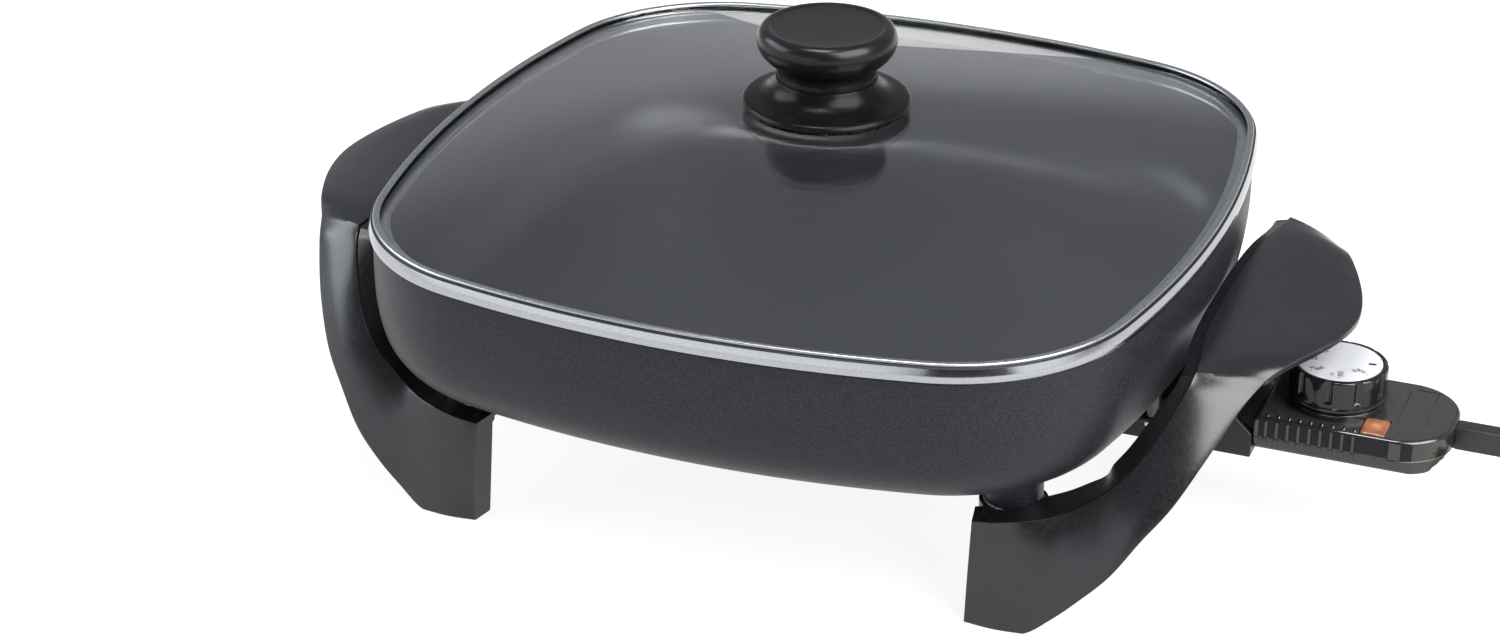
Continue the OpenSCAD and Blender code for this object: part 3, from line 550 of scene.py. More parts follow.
def tie():
    """Moulded band that holds the coil, round both turns at its far side."""
    w, cy = 6.0, 75 + 38
    outer = rounded_rect(9.6, 26.5, 2.2, 6)
    inner = rounded_rect(8.1, 25.0, 1.5, 6)
    verts, faces = [], []
    m = len(outer)
    rings = []
    for x, grow in ((-w / 2, -0.25), (-w / 2 + 0.3, 0), (w / 2 - 0.3, 0), (w / 2, -0.25)):
        rings.append([(320 + x, cy + a * (1 + grow / 5), 13.25 + b * (1 + grow / 13.25)) for a, b in outer])
    for x, grow in ((w / 2, 0.0), (-w / 2, 0.0)):
        rings.append([(320 + x, cy + a, 13.25 + b) for a, b in inner])
    for r in rings:
        verts += r
    return new_object("cord_tie_band", verts, grid_faces(len(rings), m, True), M["rubber"], "control", ("cord_tie",))


def relief():
    """Flat tapered strain relief with rounded edges."""
    X, Y, Z = np.array([1.0, 0, 0]), np.array([0, 1.0, 0]), np.array([0, 0, 1.0])
    secs = []
    for x, w, h, r in ((243.0, 6.6, 8.2, .8), (246.3, 7.1, 8.7, .9), (246.6, 7.4, 9, .9), (264, 7.4, 9, .9), (268, 7.4, 8.7, 1.1), (272, 7.4, 8.35, 1.5),
                       (276, 7.35, 8.0, 2.1), (280, 7.3, 7.65, 2.8), (283.2, 7.3, 7.35, 3.4), (284, 7.1, 7.15, 3.4)):
        secs.append((np.array([x, 0, 48.5]), Y, Z, rounded_rect(w, h, r, 6)))
    return loft("strain_relief_moulded", secs, M["relief"], "control", ("strain_relief",), 40)


flex = cord_curve()
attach(flex, "control")
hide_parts("power_cord", "cord_coil", "cord_tail")
plug_piece = plug()
tie_piece = tie()
relief_piece = relief()
round(bezier_length(), 4)


# ------------------------------------------------------------------ plan of the pan and lid
PLAN_A, SIDE_R, CORNER_R = 155.0, 426.0, 73.0
TH = 45 + math.degrees(math.asin((PLAN_A - SIDE_R) / ((SIDE_R - CORNER_R) * math.sqrt(2))))
PC = (SIDE_R - CORNER_R) * math.sin(math.radians(TH))


def plan_pt(u, i):
    q = int(math.floor(u * 4)) % 4
    f, n1 = u * 4 - math.floor(u * 4), 0.25
    if f < n1:
        t = math.radians(TH * f / n1)
        p = ((SIDE_R - i) * math.sin(t), PLAN_A - SIDE_R + (SIDE_R - i) * math.cos(t))
    elif f < 1 - n1:
        t = math.radians(TH + (90 - 2 * TH) * (f - n1) / (1 - 2 * n1))
        p = (PC + (CORNER_R - i) * math.sin(t), PC + (CORNER_R - i) * math.cos(t))
    else:
        t = math.radians(90 - TH * (1 - f) / n1)
        p = (PLAN_A - SIDE_R + (SIDE_R - i) * math.sin(t), (SIDE_R - i) * math.cos(t))
    a = math.radians(90 * q)
    return (p[0] * math.cos(a) + p[1] * math.sin(a), -p[0] * math.sin(a) + p[1] * math.cos(a))


NU = 240
US = [k / NU for k in range(NU)]


def plan_rings(profile):
    """Vertices of every [inset, z] of a profile round the plan, ring by ring."""
    return [(*plan_pt(u, p[0]), p[1]) for p in profile for u in US]


# ------------------------------------------------------------------ pan
PAN_T, RIM_Z, CURVE_Z, CURVE_R, FILLET_R, DRAFT, INSET = 3.0, 109.8, 91.0, 70.0, 24.2, math.radians(14), 1.3
FC_I = INSET + CURVE_R - (CURVE_R - FILLET_R) * math.cos(DRAFT)
FC_Z = CURVE_Z - (CURVE_R - FILLET_R) * math.sin(DRAFT)
PAN_BOTTOM = FC_Z - FILLET_R
PAN_FLOOR = PAN_BOTTOM + PAN_T


def arc(ci, cz, r, a0, a1, n):
    return [(ci - r * math.cos(a0 + (a1 - a0) * k / n), cz - r * math.sin(a0 + (a1 - a0) * k / n)) for k in range(n + 1)]


def pan_bowl():
    inner = arc(FC_I, FC_Z, FILLET_R - PAN_T, math.pi / 2, DRAFT, 14)[1:]
    inner += arc(INSET + CURVE_R, CURVE_Z, CURVE_R - PAN_T, DRAFT, 0, 6)[1:]
    rim = round_path([(INSET + PAN_T, CURVE_Z), (INSET + PAN_T, RIM_Z), (INSET, RIM_Z), (INSET, CURVE_Z)], [0, 0.9, 0.9, 0], 5, False)[1:]
    outer = arc(INSET + CURVE_R, CURVE_Z, CURVE_R, 0, DRAFT, 6)[1:]
    outer += arc(FC_I, FC_Z, FILLET_R, DRAFT, math.pi / 2, 14)[1:]
    edge_in = [(*plan_pt(u, FC_I),) for u in US]
    verts, prof_n = [], 0
    marks = []
    for s in (0.04, 0.2, 0.4, 0.6, 0.8, 0.93, 1.0):
        verts += [(x * s, y * s, PAN_FLOOR) for x, y in edge_in]
        prof_n += 1
        marks.append(1)
    for p in inner + rim[:8]:
        verts += [(*plan_pt(u, p[0]), p[1]) for u in US]
        prof_n += 1
        marks.append(1)
    for p in rim[8:] + outer:
        verts += [(*plan_pt(u, p[0]), p[1]) for u in US]
        prof_n += 1
        marks.append(0)
    for s in (0.93, 0.8, 0.6, 0.4, 0.2, 0.04):
        verts += [(x * s, y * s, PAN_BOTTOM) for x, y in edge_in]
        prof_n += 1
        marks.append(0)
    faces = grid_faces(prof_n, NU, False)
    fm = []
    for i in range(prof_n - 1):
        fm += [1 if marks[i] and marks[i + 1] else 0] * NU
    top = len(verts)
    verts.append((0, 0, PAN_FLOOR))
    for j in range(NU):
        faces.append((top, j, (j + 1) % NU))
        fm.append(1)
    low = len(verts)
    verts.append((0, 0, PAN_BOTTOM))
    base = (prof_n - 1) * NU
    for j in range(NU):
        faces.append((low, base + (j + 1) % NU, base + j))
        fm.append(0)
    return new_object("pan_bowl", verts, faces, M["pan_out"], "skillet", ("pan",), 40, fm, [M["pan_in"]])


def loop_path():
    """Centre line of the element's rib, from one terminal end round to the other."""
    p, r, e, ty, lx, ly = [], 30.0, 15.0, 10.0, 75.0, 72.0

    def turn(cx, cy, rad, a0, a1, n):
        for k in range(n + 1):
            a = math.radians(a0 + (a1 - a0) * k / n)
            p.append((cx + rad * math.cos(a), cy + rad * math.sin(a)))
    p.append((118.0, ty))
    p.append((104.0, ty))
    turn(lx + e, e + ty, e, 270, 180, 10)
    turn(lx - r, ly - r, r, 0, 90, 12)
    turn(-lx + r, ly - r, r, 90, 180, 12)
    turn(-lx + r, -ly + r, r, 180, 270, 12)
    turn(lx - r, -ly + r, r, 270, 360, 12)
    turn(lx + e, -e - ty, e, 180, 90, 10)
    p.append((104.0, -ty))
    p.append((118.0, -ty))
    return [np.array([x, y, 0.0]) for x, y in p]


def pan_rib():
    path = loop_path()
    section = round_path([(5.5, PAN_BOTTOM + 0.4), (5.5, 42.0), (-5.5, 42.0), (-5.5, PAN_BOTTOM + 0.4)], [0, 1.6, 1.6, 0], 4, False)
    flare = [(7.0, PAN_BOTTOM + 0.5), (6.1, PAN_BOTTOM - 0.5)]
    section = flare + section[1:-1] + [(-6.1, PAN_BOTTOM - 0.5), (-7.0, PAN_BOTTOM + 0.5)]
    n, m = len(path), len(section)
    verts = []
    for i, p in enumerate(path):
        t = unit(path[min(n - 1, i + 1)] - path[max(0, i - 1)])
        s = np.array([-t[1], t[0], 0])
        for a, z in section:
            q = p + s * a
            verts.append((q[0], q[1], z))
    f = grid_faces(n, m, False)
    f += [tuple(range(m)), tuple(range((n - 1) * m, n * m))]
    return new_object("pan_element_rib", verts, f, M["pan_out"], "skillet", (), 35)


def pan_probe_boss():
    """Boss with the probe's well, rounded along its lower edges."""
    ob = loft("pan_probe_boss", [(np.array([x, 0, 49.2]), np.array([0, 1.0, 0]), np.array([0, 0, 1.0]), rounded_rect(8.6 - g, 14.4 - g, 1.4, 5))
                                 for x, g in ((62, 1.0), (62.6, 0), (126.2, 0), (127, 1.2))], M["pan_out"], None)
    cut = new_object("c", [(x, 3.3 * math.cos(2 * math.pi * k / 40), 47 + 3.3 * math.sin(2 * math.pi * k / 40))
                           for x in (88.0, 130.0) for k in range(40)],
                     grid_faces(2, 40, False) + [tuple(range(40)), tuple(range(40, 80))], M["pan_out"], None)
    boolean(ob, [cut])
    smooth(ob, 35)
    return finish_piece(ob, "skillet")


def pan_bosses():
    made = []
    for sx in (-1, 1):
        for sy in (-1, 1):
            prof = [(2.5, 41.1), (10.5, 41.1), (10.5, PAN_BOTTOM - 1.6), (11.2, PAN_BOTTOM - 0.5), (12.6, PAN_BOTTOM + 0.6), (2.5, PAN_BOTTOM + 0.6)]
            made.append(lathe("b", prof, M["pan_out"], None, centre=(106.5 * sx, 90 * sy), radii=[0.3, 0.6, 1.2, 0.4, 0, 0], n=96))
    ob = join(made, "pan_leg_bosses")
    smooth(ob, 35)
    finish_piece(ob, "skillet")
    made = []
    for sy in (-1, 1):
        prof = [(1.3, 49.3), (2.9, 49.3), (2.9, 58.0), (3.4, 60.4), (1.3, 60.4)]
        made.append(lathe("b", prof, M["control"], None, centre=(139.5, 27.7 * sy), radii=[0.1, 0.3, 0, 0, 0], n=48))
    ob = join(made, "pan_guard_bosses")
    smooth(ob, 35)
    finish_piece(ob, "skillet")


pan_bowl()
pan_rib()
pan_probe_boss()
pan_bosses()


# ------------------------------------------------------------------ handles
ROWS = [
    ((97, -109, 39), (97, -114.5, 0), 10.8, 9.6, 0), ((106, -110.5, 41), (108, -115.5, 0), 13.5, 8, 0),
    ((114, -109.5, 42.5), (119, -114.5, 0), 15, 6, 0), ((122, -106.5, 43.5), (129, -113, 7.5), 15, 5, 0),
    ((130, -102.5, 46), (138, -112.5, 16.5), 14.5, 4.5, 0), ((138, -99.5, 51), (148, -109.5, 27), 13.5, 4.2, 0),
    ((146, -97, 58), (157, -104, 40), 12, 4, 0.1), ((153, -91.5, 66.5), (166, -96.5, 52), 9.5, 4, 0.25),
    ((159, -83.5, 77.5), (174.5, -85, 67.5), 7.5, 4, 0.5), ((163, -75.5, 87), (182, -70.5, 81.5), 5, 4, 0.75),
    ((164.5, -69.5, 91.8), (187, -58.6, 87.4), 4.4, 4, 1), ((163, -58, 92.4), (192.8, -47.8, 90.3), 4.4, 4, 1),
    ((160.5, -43, 92.6), (200, -31, 90), 4.6, 4, 1), ((159.3, -22, 92.6), (205, -15, 89.2), 4.8, 4, 1),
    ((159, 0, 92.6), (207, 0, 88.8), 4.7, 4, 1)]
HN = len(ROWS)
CREASES = (10, 2 * HN - 2 - 10)


def mirrored(k, col):
    if k < HN:
        return np.array(ROWS[k][col], float)
    v = np.array(ROWS[2 * HN - 2 - k][col], float)
    return v * np.array([1, -1, 1]) if col < 2 else v


COLS = [[mirrored(k, c) for k in range(2 * HN - 1)] for c in range(5)]


def handle_ring(x):
    n, e = 2 * HN - 1, 0.25
    b, a = catmull(COLS[0], x, CREASES), catmull(COLS[1], x, CREASES)
    w, t, l = (float(catmull(COLS[c], x)) for c in (2, 3, 4))
    x0, x1 = max(0, x - e), min(n - 1, x + e)
    for c in CREASES:
        if x < c - 1e-6:
            x1 = min(x1, c)
        if x > c + 1e-6 and x0 < c:
            x0 = c
    b1, b0 = catmull(COLS[0], x1, CREASES), catmull(COLS[0], x0, CREASES)
    d = unit((b1 + catmull(COLS[1], x1, CREASES)) - (b0 + catmull(COLS[1], x0, CREASES)))
    xe = min(x, n - 1 - x)
    k, sy = max(0, 1 - xe / 2), 1 if x < HN - 1 else -1
    side = np.array([-0.2, 0.98 * sy, 0])
    nin = unit(-unit(np.cross(d, b - a)) * (1 - k) + side * k)
    db = b1 - b0
    nh = unit(unit(np.array([-db[1], db[0], 0])) * (1 - k) + side * k)
    dd = unit(nh * (1 - l) + nin * l)
    dn = unit(a - b)
    q = unit(dn * (1 - l) + nin * l)
    bl = b + nh * (1.2 * (1 - l)) + nin * (1.2 * l)
    le = b + nin * ((1.2 + 0.28 * w) * l) + nh * w
    ta = min(3, t)
    af = np.array([a[0], a[1], max(0, a[2])])
    foot = t if (x < 2.5 or x > n - 3.5) else ta + (t - ta) * max(0, 1 - abs(min(x, n - 1 - x) - 2.5))
    pts = [af, af + (b - af) * 0.25 - nin * 0.9, af + (b - af) * 0.5 - nin * 1.2, af + (b - af) * 0.75 - nin * 0.9,
           b, bl, le, le + q * (3.2 - 0.28 * w * l), b + nin * t + dn * 3.4,
           af + (b - af) * 0.6 + nin * t, af + (b - af) * 0.3 + nin * t, af + dd * foot]
    return pts


def handle(name, mirror, node):
    sub = 8
    n = (2 * HN - 2) * sub + 1
    radii = [0.7, 2.5, 2.5, 2.5, 0.5, 0.12, 0.8, 0.6, 0.9, 2.0, 2.0, 0.7]
    rings = []
    for k in range(n):
        r = round_path(handle_ring(k / sub), radii, 3)
        rings.append(r)
    verts = []
    for r in rings:
        verts += [tuple(p) for p in r]
    m = len(rings[0])
    f = grid_faces(n, m, False)
    f += [tuple(range(m)), tuple(range((n - 1) * m, n * m))]
    ob = new_object(name, verts, f, M["handle"], None)
    seats = []
    for sy in (-1, 1):
        seats.append(cyl_mesh("s", (106.5, 90 * sy), 12.5, 36.3, 40.3, M["handle"], 72))
        y0, y1 = sorted((-106 * -sy, 90 * sy))
        seats.append(box_mesh("s", (98.5, y0, 36.3), (114.5, y1, 40.3), M["handle"]))
    boolean(ob, seats, "UNION")
    cuts = []
    for sy in (-1, 1):
        cuts.append(cyl_mesh("s", (106.5, 90 * sy), 2.6, 30, 50, M["handle"], 32))
        cuts.append(cyl_mesh("s", (106.5, 90 * sy), 11.4, 40.3, 48.3, M["handle"], 72))
    boolean(ob, cuts, "DIFFERENCE")
    if mirror:
        ob.data.transform(Matrix.Scale(-1, 4, (1, 0, 0)))
        bm = bmesh.new()
        bm.from_mesh(ob.data)
        bmesh.ops.recalc_face_normals(bm, faces=bm.faces)
        bm.to_mesh(ob.data)
        bm.free()
    smooth(ob, 28)
    return finish_piece(ob, "skillet", (node,))


handle("right_handle_moulded", False, "right_handle")
handle("left_handle_moulded", True, "left_handle")


# ------------------------------------------------------------------ lid
def sweep_plan(name, profile, radii, mat, body, replaces, steps=4, sharp=35, zones=()):
    """Sweeps a closed (inset, z) outline round the plan. zones gives runs of numbered corners a material of their own."""
    prof = round_path(profile, radii, steps, True)
    owner = [i for i, r in enumerate(radii) for _ in range(1 if r <= 0 else steps + 1)]
    fm = []
    for i in range(len(prof)):
        a, b = owner[i], owner[(i + 1) % len(prof)]
        fm += [next((k + 1 for k, (run, _) in enumerate(zones) if a in run and b in run), 0)] * NU
    return new_object(name, plan_rings(prof), grid_faces(len(prof), NU, True), mat, body, replaces, sharp,
                      fm if zones else None, [z[1] for z in zones])


def rim():
    prof = [(0.35, 110.1), (0.05, 110.7), (0.0, 111.2), (0.03, 112.0), (0.15, 112.7), (0.35, 113.4), (0.6, 114.2), (0.86, 114.98),
            (0.97, 115.3), (1.2, 115.5), (1.5, 115.58), (1.74, 115.95),
            (1.8, 116.4), (2.1, 116.74), (2.8, 116.88), (3.5, 116.86), (4.15, 116.6), (4.38, 116.2), (4.2, 115.4), (1.9, 115.0), (1.3, 114.8),
            (1.0, 114.5), (0.8, 113.9), (0.8, 110.7), (7.7, 110.7), (8.0, 110.88), (8.4, 110.75), (8.5, 110.35), (8.3, 110.0), (7.9, 109.95),
            (7.6, 110.1), (5.6, 110.1), (5.6, 106.7), (5.95, 106.4), (6.15, 105.95), (5.95, 105.5), (5.5, 105.35), (5.05, 105.5), (4.95, 106.0), (5.0, 110.1)]
    radii = [.2, .3, .5, .5, .6, .6, .6, .15, .12, .12, .12, .12,
             .2, .35, .4, .4, .35, .25, .25, .2, .15,
             .2, .2, .15, .15, .2, .2, .2, .2, .2,
             .15, .35, .2, .2, .25, .25, .25, .25, .3, .15]
    # Corners 8 to 11, the groove between the top bead and the band, take a dark steel that paints the groove's shade
    # and dark reflection.
    return sweep_plan("lid_rim_band", prof, radii, M["steel"], "lid", ("lid_rim",),
                      zones=(((8, 9, 10, 11), M["seam"]), ((12, 13, 14, 15, 16, 17), M["satin"]), ((24, 25, 26, 27, 28), M["satin"]),
                             ((32, 33, 34, 35, 36), M["satin"])))


def dome_z(s):
    return 139.0 if s <= 0.2 else 115 + 24 * (1 - ((s - 0.2) / 0.8) ** 1.25)


def dome_pt(u, s):
    p = np.array(plan_pt(u, 5))
    c = unit(p) * 150
    return (c + (p - c) * s) * s


def glass():
    """Domed pane with rounded edge and a hole for the knob's screw."""
    ss = [1 - 0.8 * k / 26 for k in range(27)]
    cols = []
    for u in US:
        e = np.array(plan_pt(u, 0.9))
        h = unit(e) * 4
        top = [np.array([e[0], e[1], 115.0])]
        top += [np.array([*dome_pt(u, s), dome_z(s)]) for s in ss]
        for g in (0.66, 0.33):
            q = dome_pt(u, 0.2) * g + h * (1 - g)
            top.append(np.array([q[0], q[1], 139.0]))
        top.append(np.array([h[0], h[1], 139.0]))
        col = top + [p - np.array([0, 0, 4.0]) for p in reversed(top)]
        cols.append(col)
    m = len(cols[0])
    rad = [0.0] * m
    rad[0] = rad[-1] = 0.9
    k = len(top)
    rad[k - 1] = rad[k] = 0.5
    verts = []
    for c in cols:
        r = round_path(c, rad, 4, True)
        mm = len(r)
        verts += [tuple(p) for p in r]
    return new_object("lid_glass_dome", verts, grid_faces(NU, mm, True), M["glass"], "lid", ("lid_glass",), 60)


rim()
glass()

# The guard disc takes the darker copy of the knob's phenolic, which paints the shade under the cap.
lathe("knob_guard_disc", [(2.3, 140), (29.2, 140), (31.2, 140.5), (32.35, 142.2), (31.4, 143.9), (30.2, 144.45), (25.85, 145.1), (23.4, 146.2), (21.4, 147.9),
                          (20, 150), (19.2, 152), (2.3, 152)],
      M["knob_base"], "lid", ("knob_guard",), n=192, radii=[.1, .5, .9, 1.1, .9, 1.2, 2.2, 2.0, 1.8, 1.6, .15, .1])
lathe("lid_knob_cap", [(0.0, 152.0), (18.8, 152), (18.8, 154.5), (19.3, 156.4), (20.6, 158), (22.6, 159.6), (24.6, 161.6), (26, 164), (26.5, 166.6),
                       (26.2, 168.8), (25.4, 170.6), (24.2, 171.8), (22.8, 172.3), (21.4, 172.1), (20.8, 171.7), (12, 171.55), (0.0, 171.5)],
      M["knob"], "lid", ("lid_knob",), n=192, closed=False, radii=[0, .3, 1.2, 1.2, 1.2, 1.4, 1.4, 1.6, 1.6, 1.2, 1, .8, .8, .7, .5, 1, 0])


# ------------------------------------------------------------------ control housing
def body_outline(i, n=22):
    """Rounded outline of the control's housing at an inset, counter-clockwise from its front corner."""
    r = 20 - i
    pts = [(176.8 + i, -(24 - i))]
    for x in np.linspace(176.8 + i, 226, 14)[1:-1]:
        pts.append((float(x), -(24 - i)))
    for k in range(n + 1):
        a = math.radians(-90 + 90 * k / n)
        pts.append((226 + r * math.cos(a), -4 + r * math.sin(a)))
    for k in range(n + 1):
        a = math.radians(90 * k / n)
        pts.append((226 + r * math.cos(a), 4 + r * math.sin(a)))
    for x in np.linspace(226, 176.8 + i, 14)[1:-1]:
        pts.append((float(x), 24 - i))
    pts.append((176.8 + i, 24 - i))
    return pts


def stack(name, layers, mat):
    """Closes a pile of matching outlines, each with its height or heights."""
    verts, m = [], len(layers[0][0])
    for line, z in layers:
        verts += [(x, y, z if not callable(z) else z(x, y)) for x, y in line]
    f = grid_faces(len(layers), m, False)
    f += [tuple(range(m)), tuple(range((len(layers) - 1) * m, len(layers) * m))]
    return new_object(name, verts, f, mat, None)


RIBS = [181.0 + 4 * k for k in range(9)]


def side_recess(z0, z1):
    """Cutters for the recessed side panels between the ribs."""
    made = []
    edges = [178.3] + [v for x in RIBS for v in (x - 0.5, x + 0.5)] + [226.0]
    for s in (-1, 1):
        for a, b in zip(edges[::2], edges[1::2]):
            y0, y1 = sorted((s * 22.9, s * 26))
            made.append(box_mesh("c", (a, y0, z0), (b, y1, z1), M["control"]))
    return join(made, "c")


def upper_housing():
    r = 1.6
    layers = [(body_outline(0.25), 46.0), (body_outline(0.0), 46.25)]
    for k in range(9):
        t = math.radians(90 * k / 8)
        layers.append((body_outline(r * (1 - math.cos(t))), 54 - r + r * math.sin(t)))
    ob = stack("control_upper_shell", layers, M["control"])
    cut = [prism("c", body_outline(2.0), 45, 52, M["control"]), side_recess(41.4, 53.5)]
    boolean(ob, cut)
    # nose
    nose = [box_mesh("c", (150, -21.5, 46), (177.5, 21.5, 52), M["control"])]
    boolean(ob, nose, "UNION")
    cuts = [box_mesh("c", (152, -19.5, 45), (180, 19.5, 50.8), M["control"]),
            box_mesh("c", (214.4, -22.4, 51), (224.0, -9.5, 60), M["control"]),
            cyl_mesh("c", (201.4, 0), 3.06, 48, 60, M["control"], 40),
            box_mesh("c", (243.5, -3.75, 43.95), (247, 3.75, 53.05), M["control"])]
    for y in (0, 10, -10):
        rr = 3.3 if y == 0 else 3.1
        cuts.append(new_object("c", [(x, y + rr * math.cos(2 * math.pi * k / 40), 47 + rr * math.sin(2 * math.pi * k / 40))
                                     for x in (149.0, 153.0) for k in range(40)],
                               grid_faces(2, 40, False) + [tuple(range(40)), tuple(range(40, 80))], M["control"], None))
    # engraved line and frame
    for a, b in (((225.5, -8.5), (226.0, 16.8)), ((235.5, -8.5), (236.0, 18.8)), ((227.4, 18.3), (235.8, 18.8))):
        cuts.append(box_mesh("c", (a[0], a[1], 53.7), (b[0], b[1], 55), M["control"]))
    boolean(ob, cuts)
    bevel(ob, 0.22, 2, 40, 40)
    # Side-panel faces in the recesses take the darker recess plastic, which paints their shade.
    ob.data.materials.append(M["recess"])
    for f in ob.data.polygons:
        if abs(f.normal.y) > 0.9 and 0.0222 < abs(f.center.y) < 0.0234 and 0.0461 < f.center.z < 0.0536 and f.center.x > 0.178:
            f.material_index = 1
    extra = [lathe("c", [(3.06, 53.6), (17.6, 53.6), (17.6, 56.6), (3.06, 56.6)], M["control"], None, centre=(201.4, 0), radii=[.1, .1, .7, .2], n=160)]
    # ribs whose tops stand a little over the top's edges and slope down to the sides
    crest = [(19.7, 53.9), (20.3, 54.6), (20.8, 54.95), (21.4, 54.85), (22.4, 54.05), (23.3, 53.1), (24.0, 52.3)]
    for x in RIBS:
        for s in (-1, 1):
            v = []
            for y, z in crest:
                for dx, dz in ((0.55, -2.6), (0.55, -0.42), (0.42, -0.2), (0.08, 0.02), (-0.08, 0.02), (-0.42, -0.2), (-0.55, -0.42), (-0.55, -2.6)):
                    v.append((x + dx, s * (min(y, 23.95)), max(z + dz, 51.6)))
            f = grid_faces(len(crest), 8, False) + [tuple(range(8)), tuple(range((len(crest) - 1) * 8, len(crest) * 8))]
            extra.append(new_object("c", v, f, M["control"], None))
    ob = join([ob] + extra, "control_upper_shell")
    smooth(ob, 40)
    # Flat top faces take the lighter copy of the plastic, a painted highlight; their edges are made sharp.
    ob.data.materials.append(M["control_top_painted_highlight"])
    for f in ob.data.polygons:
        if f.normal.z > 0.9995 and f.area > 4e-6 and abs(f.center.z - 0.054) < 0.0001:
            f.material_index = len(ob.data.materials) - 1
            for li in f.loop_indices:
                ob.data.edges[ob.data.loops[li].edge_index].use_edge_sharp = True
    return finish_piece(ob, "control", ("control_upper_housing",))


def lower_housing():
    def line(i, drop):
        pts = body_outline(i)
        out = []
        for x, y in pts:
            w = 24 - 2.4 * drop - i
            y2 = max(-w, min(w, y))
            xmax = 246 - 9.5 * drop - i
            out.append((min(x, xmax), y2))
        return out
    layers = []
    for k in range(6):
        t = math.radians(90 * k / 5)
        i = 1.2 * (1 - math.sin(t))
        z = 40.4 + 1.2 * (1 - math.cos(t))
        layers.append((line(i, (46 - z) / 8), z))
    for z in (43.0, 44.4, 45.75):
        layers.append((line(0, (46 - z) / 8), z))
    layers.append((line(0.25, 0), 46.0))
    ob = stack("control_lower_shell", layers, M["control_low"])
    boolean(ob, [prism("c", line(2.2, 0.5), 42.4, 50, M["control_low"]), side_recess(41.4, 50)])
    boolean(ob, [box_mesh("c", (150, -21.5, 40.4), (177.5, 21.5, 46), M["control_low"])], "UNION")
    cuts = [box_mesh("c", (152, -19.5, 42.4), (180, 19.5, 50), M["control_low"]),
            box_mesh("c", (243.0, -3.75, 43.95), (247, 3.75, 53.05), M["control_low"])]
    for x, y in ((183, 18.2), (183, -18.2), (230, 12), (230, -12)):
        cuts += [cyl_mesh("c", (x, y), 1.6, 39, 44, M["control_low"], 32), cyl_mesh("c", (x, y), 3, 39, 41.5, M["control_low"], 48)]
    for y in (0, 10, -10):
        rr = 3.3 if y == 0 else 3.1
        cuts.append(new_object("c", [(x, y + rr * math.cos(2 * math.pi * k / 40), 47 + rr * math.sin(2 * math.pi * k / 40))
                                     for x in (149.0, 153.0) for k in range(40)],
                               grid_faces(2, 40, False) + [tuple(range(40)), tuple(range(40, 80))], M["control_low"], None))
    boolean(ob, cuts)
    bevel(ob, 0.22, 2, 40, 40)
    return finish_piece(ob, "control", ("control_lower_housing",))


upper_housing()
lower_housing()


def lens():
    """Amber window, softly domed, flush with the housing's edge."""
    verts, steps = [], [(0.5, 51.9), (0.0, 52.2), (0.0, 53.9), (0.25, 54.3), (0.8, 54.55), (2.0, 54.7), (3.6, 54.78)]
    m = None
    for i, z in steps:
        line = rounded_rect(9.2 - 2 * i, 12.5 - 2 * i, max(0.3, 1.4 - i * 0.4), 6)
        m = len(line)
        verts += [(219.2 + a, -15.95 + b, z) for a, b in line]
    f = grid_faces(len(steps), m, False) + [tuple(range(m)), tuple(range((len(steps) - 1) * m, len(steps) * m))]
    return new_object("indicator_window", verts, f, M["lens"], "control", ("indicator_lens",), 50)


lens()


# ------------------------------------------------------------------ dial
def dial():
    n = 720
    cuts = [math.radians(36 * (k + 0.5)) for k in range(10)]

    def flute(a, depth):
        best = 0.0
        for c in cuts:
            d = (a - c + math.pi) % (2 * math.pi) - math.pi
            x = 18.7 * math.sin(d) if abs(d) < 0.3 else 9.0
            if abs(x) < 1.9:
                r = 18.7 * math.cos(d) - math.sqrt(1.9 ** 2 - x * x)
                best = max(best, 17.8 - r)
        return max(0.0, best) * depth
    prof = [(6.0, 57.4, 0), (18.1, 57.4, 0), (18.45, 57.52, 0), (18.6, 57.85, 0), (18.6, 58.75, 0), (18.45, 59.05, 0), (18.1, 59.18, 0), (17.85, 59.3, 0),
            (17.8, 59.6, 0), (17.8, 60.6, 0.0), (17.8, 60.85, 0.45), (17.8, 61.2, 0.8), (17.8, 61.8, 1), (17.8, 65, 1), (17.8, 69.0, 1),
            (17.7, 69.35, 1), (17.45, 69.65, 1), (17.1, 69.85, 1), (16.7, 69.9, 1), (15.95, 69.9, 1), (15.75, 69.8, 0), (15.7, 69.4, 0), (6.0, 69.4, 0)]
    verts = []
    for r, z, d in prof:
        for k in range(n):
            a = 2 * math.pi * k / n
            rr = r if d == 0 else min(r, 17.8 - flute(a, d))
            verts.append((201.4 + rr * math.cos(a), rr * math.sin(a), z))
    f = grid_faces(len(prof), n, False)
    body = new_object("c", verts, f + [tuple(range(n)), tuple(range((len(prof) - 1) * n, len(prof) * n))], M["dial"], None, sharp=40)
    boolean(body, [lathe("c", [(6.0, 56), (14.2, 56), (14.2, 66.4), (6.0, 66.4)], M["dial"], None, centre=(201.4, 0), radii=0.0, n=96),
                   cyl_mesh("c", (201.4, 0), 3.02, 56, 66.2, M["dial"], 48)])
    body.name = "dial_grip"
    smooth(body, 40)
    return finish_piece(body, "dial", ("dial_knob",))


dial()


def dial_plate():
    prof = [(0.0, 69.4), (15.6, 69.4), (15.6, 69.82), (15.4, 69.9), (0.0, 69.9)]
    return lathe("dial_plate", prof, M["dial_face"], "dial", ("dial_face",), n=192, centre=(201.4, 0), radii=[0, 0, .1, .1, 0], steps=3,
                 closed=False)


dial_plate()


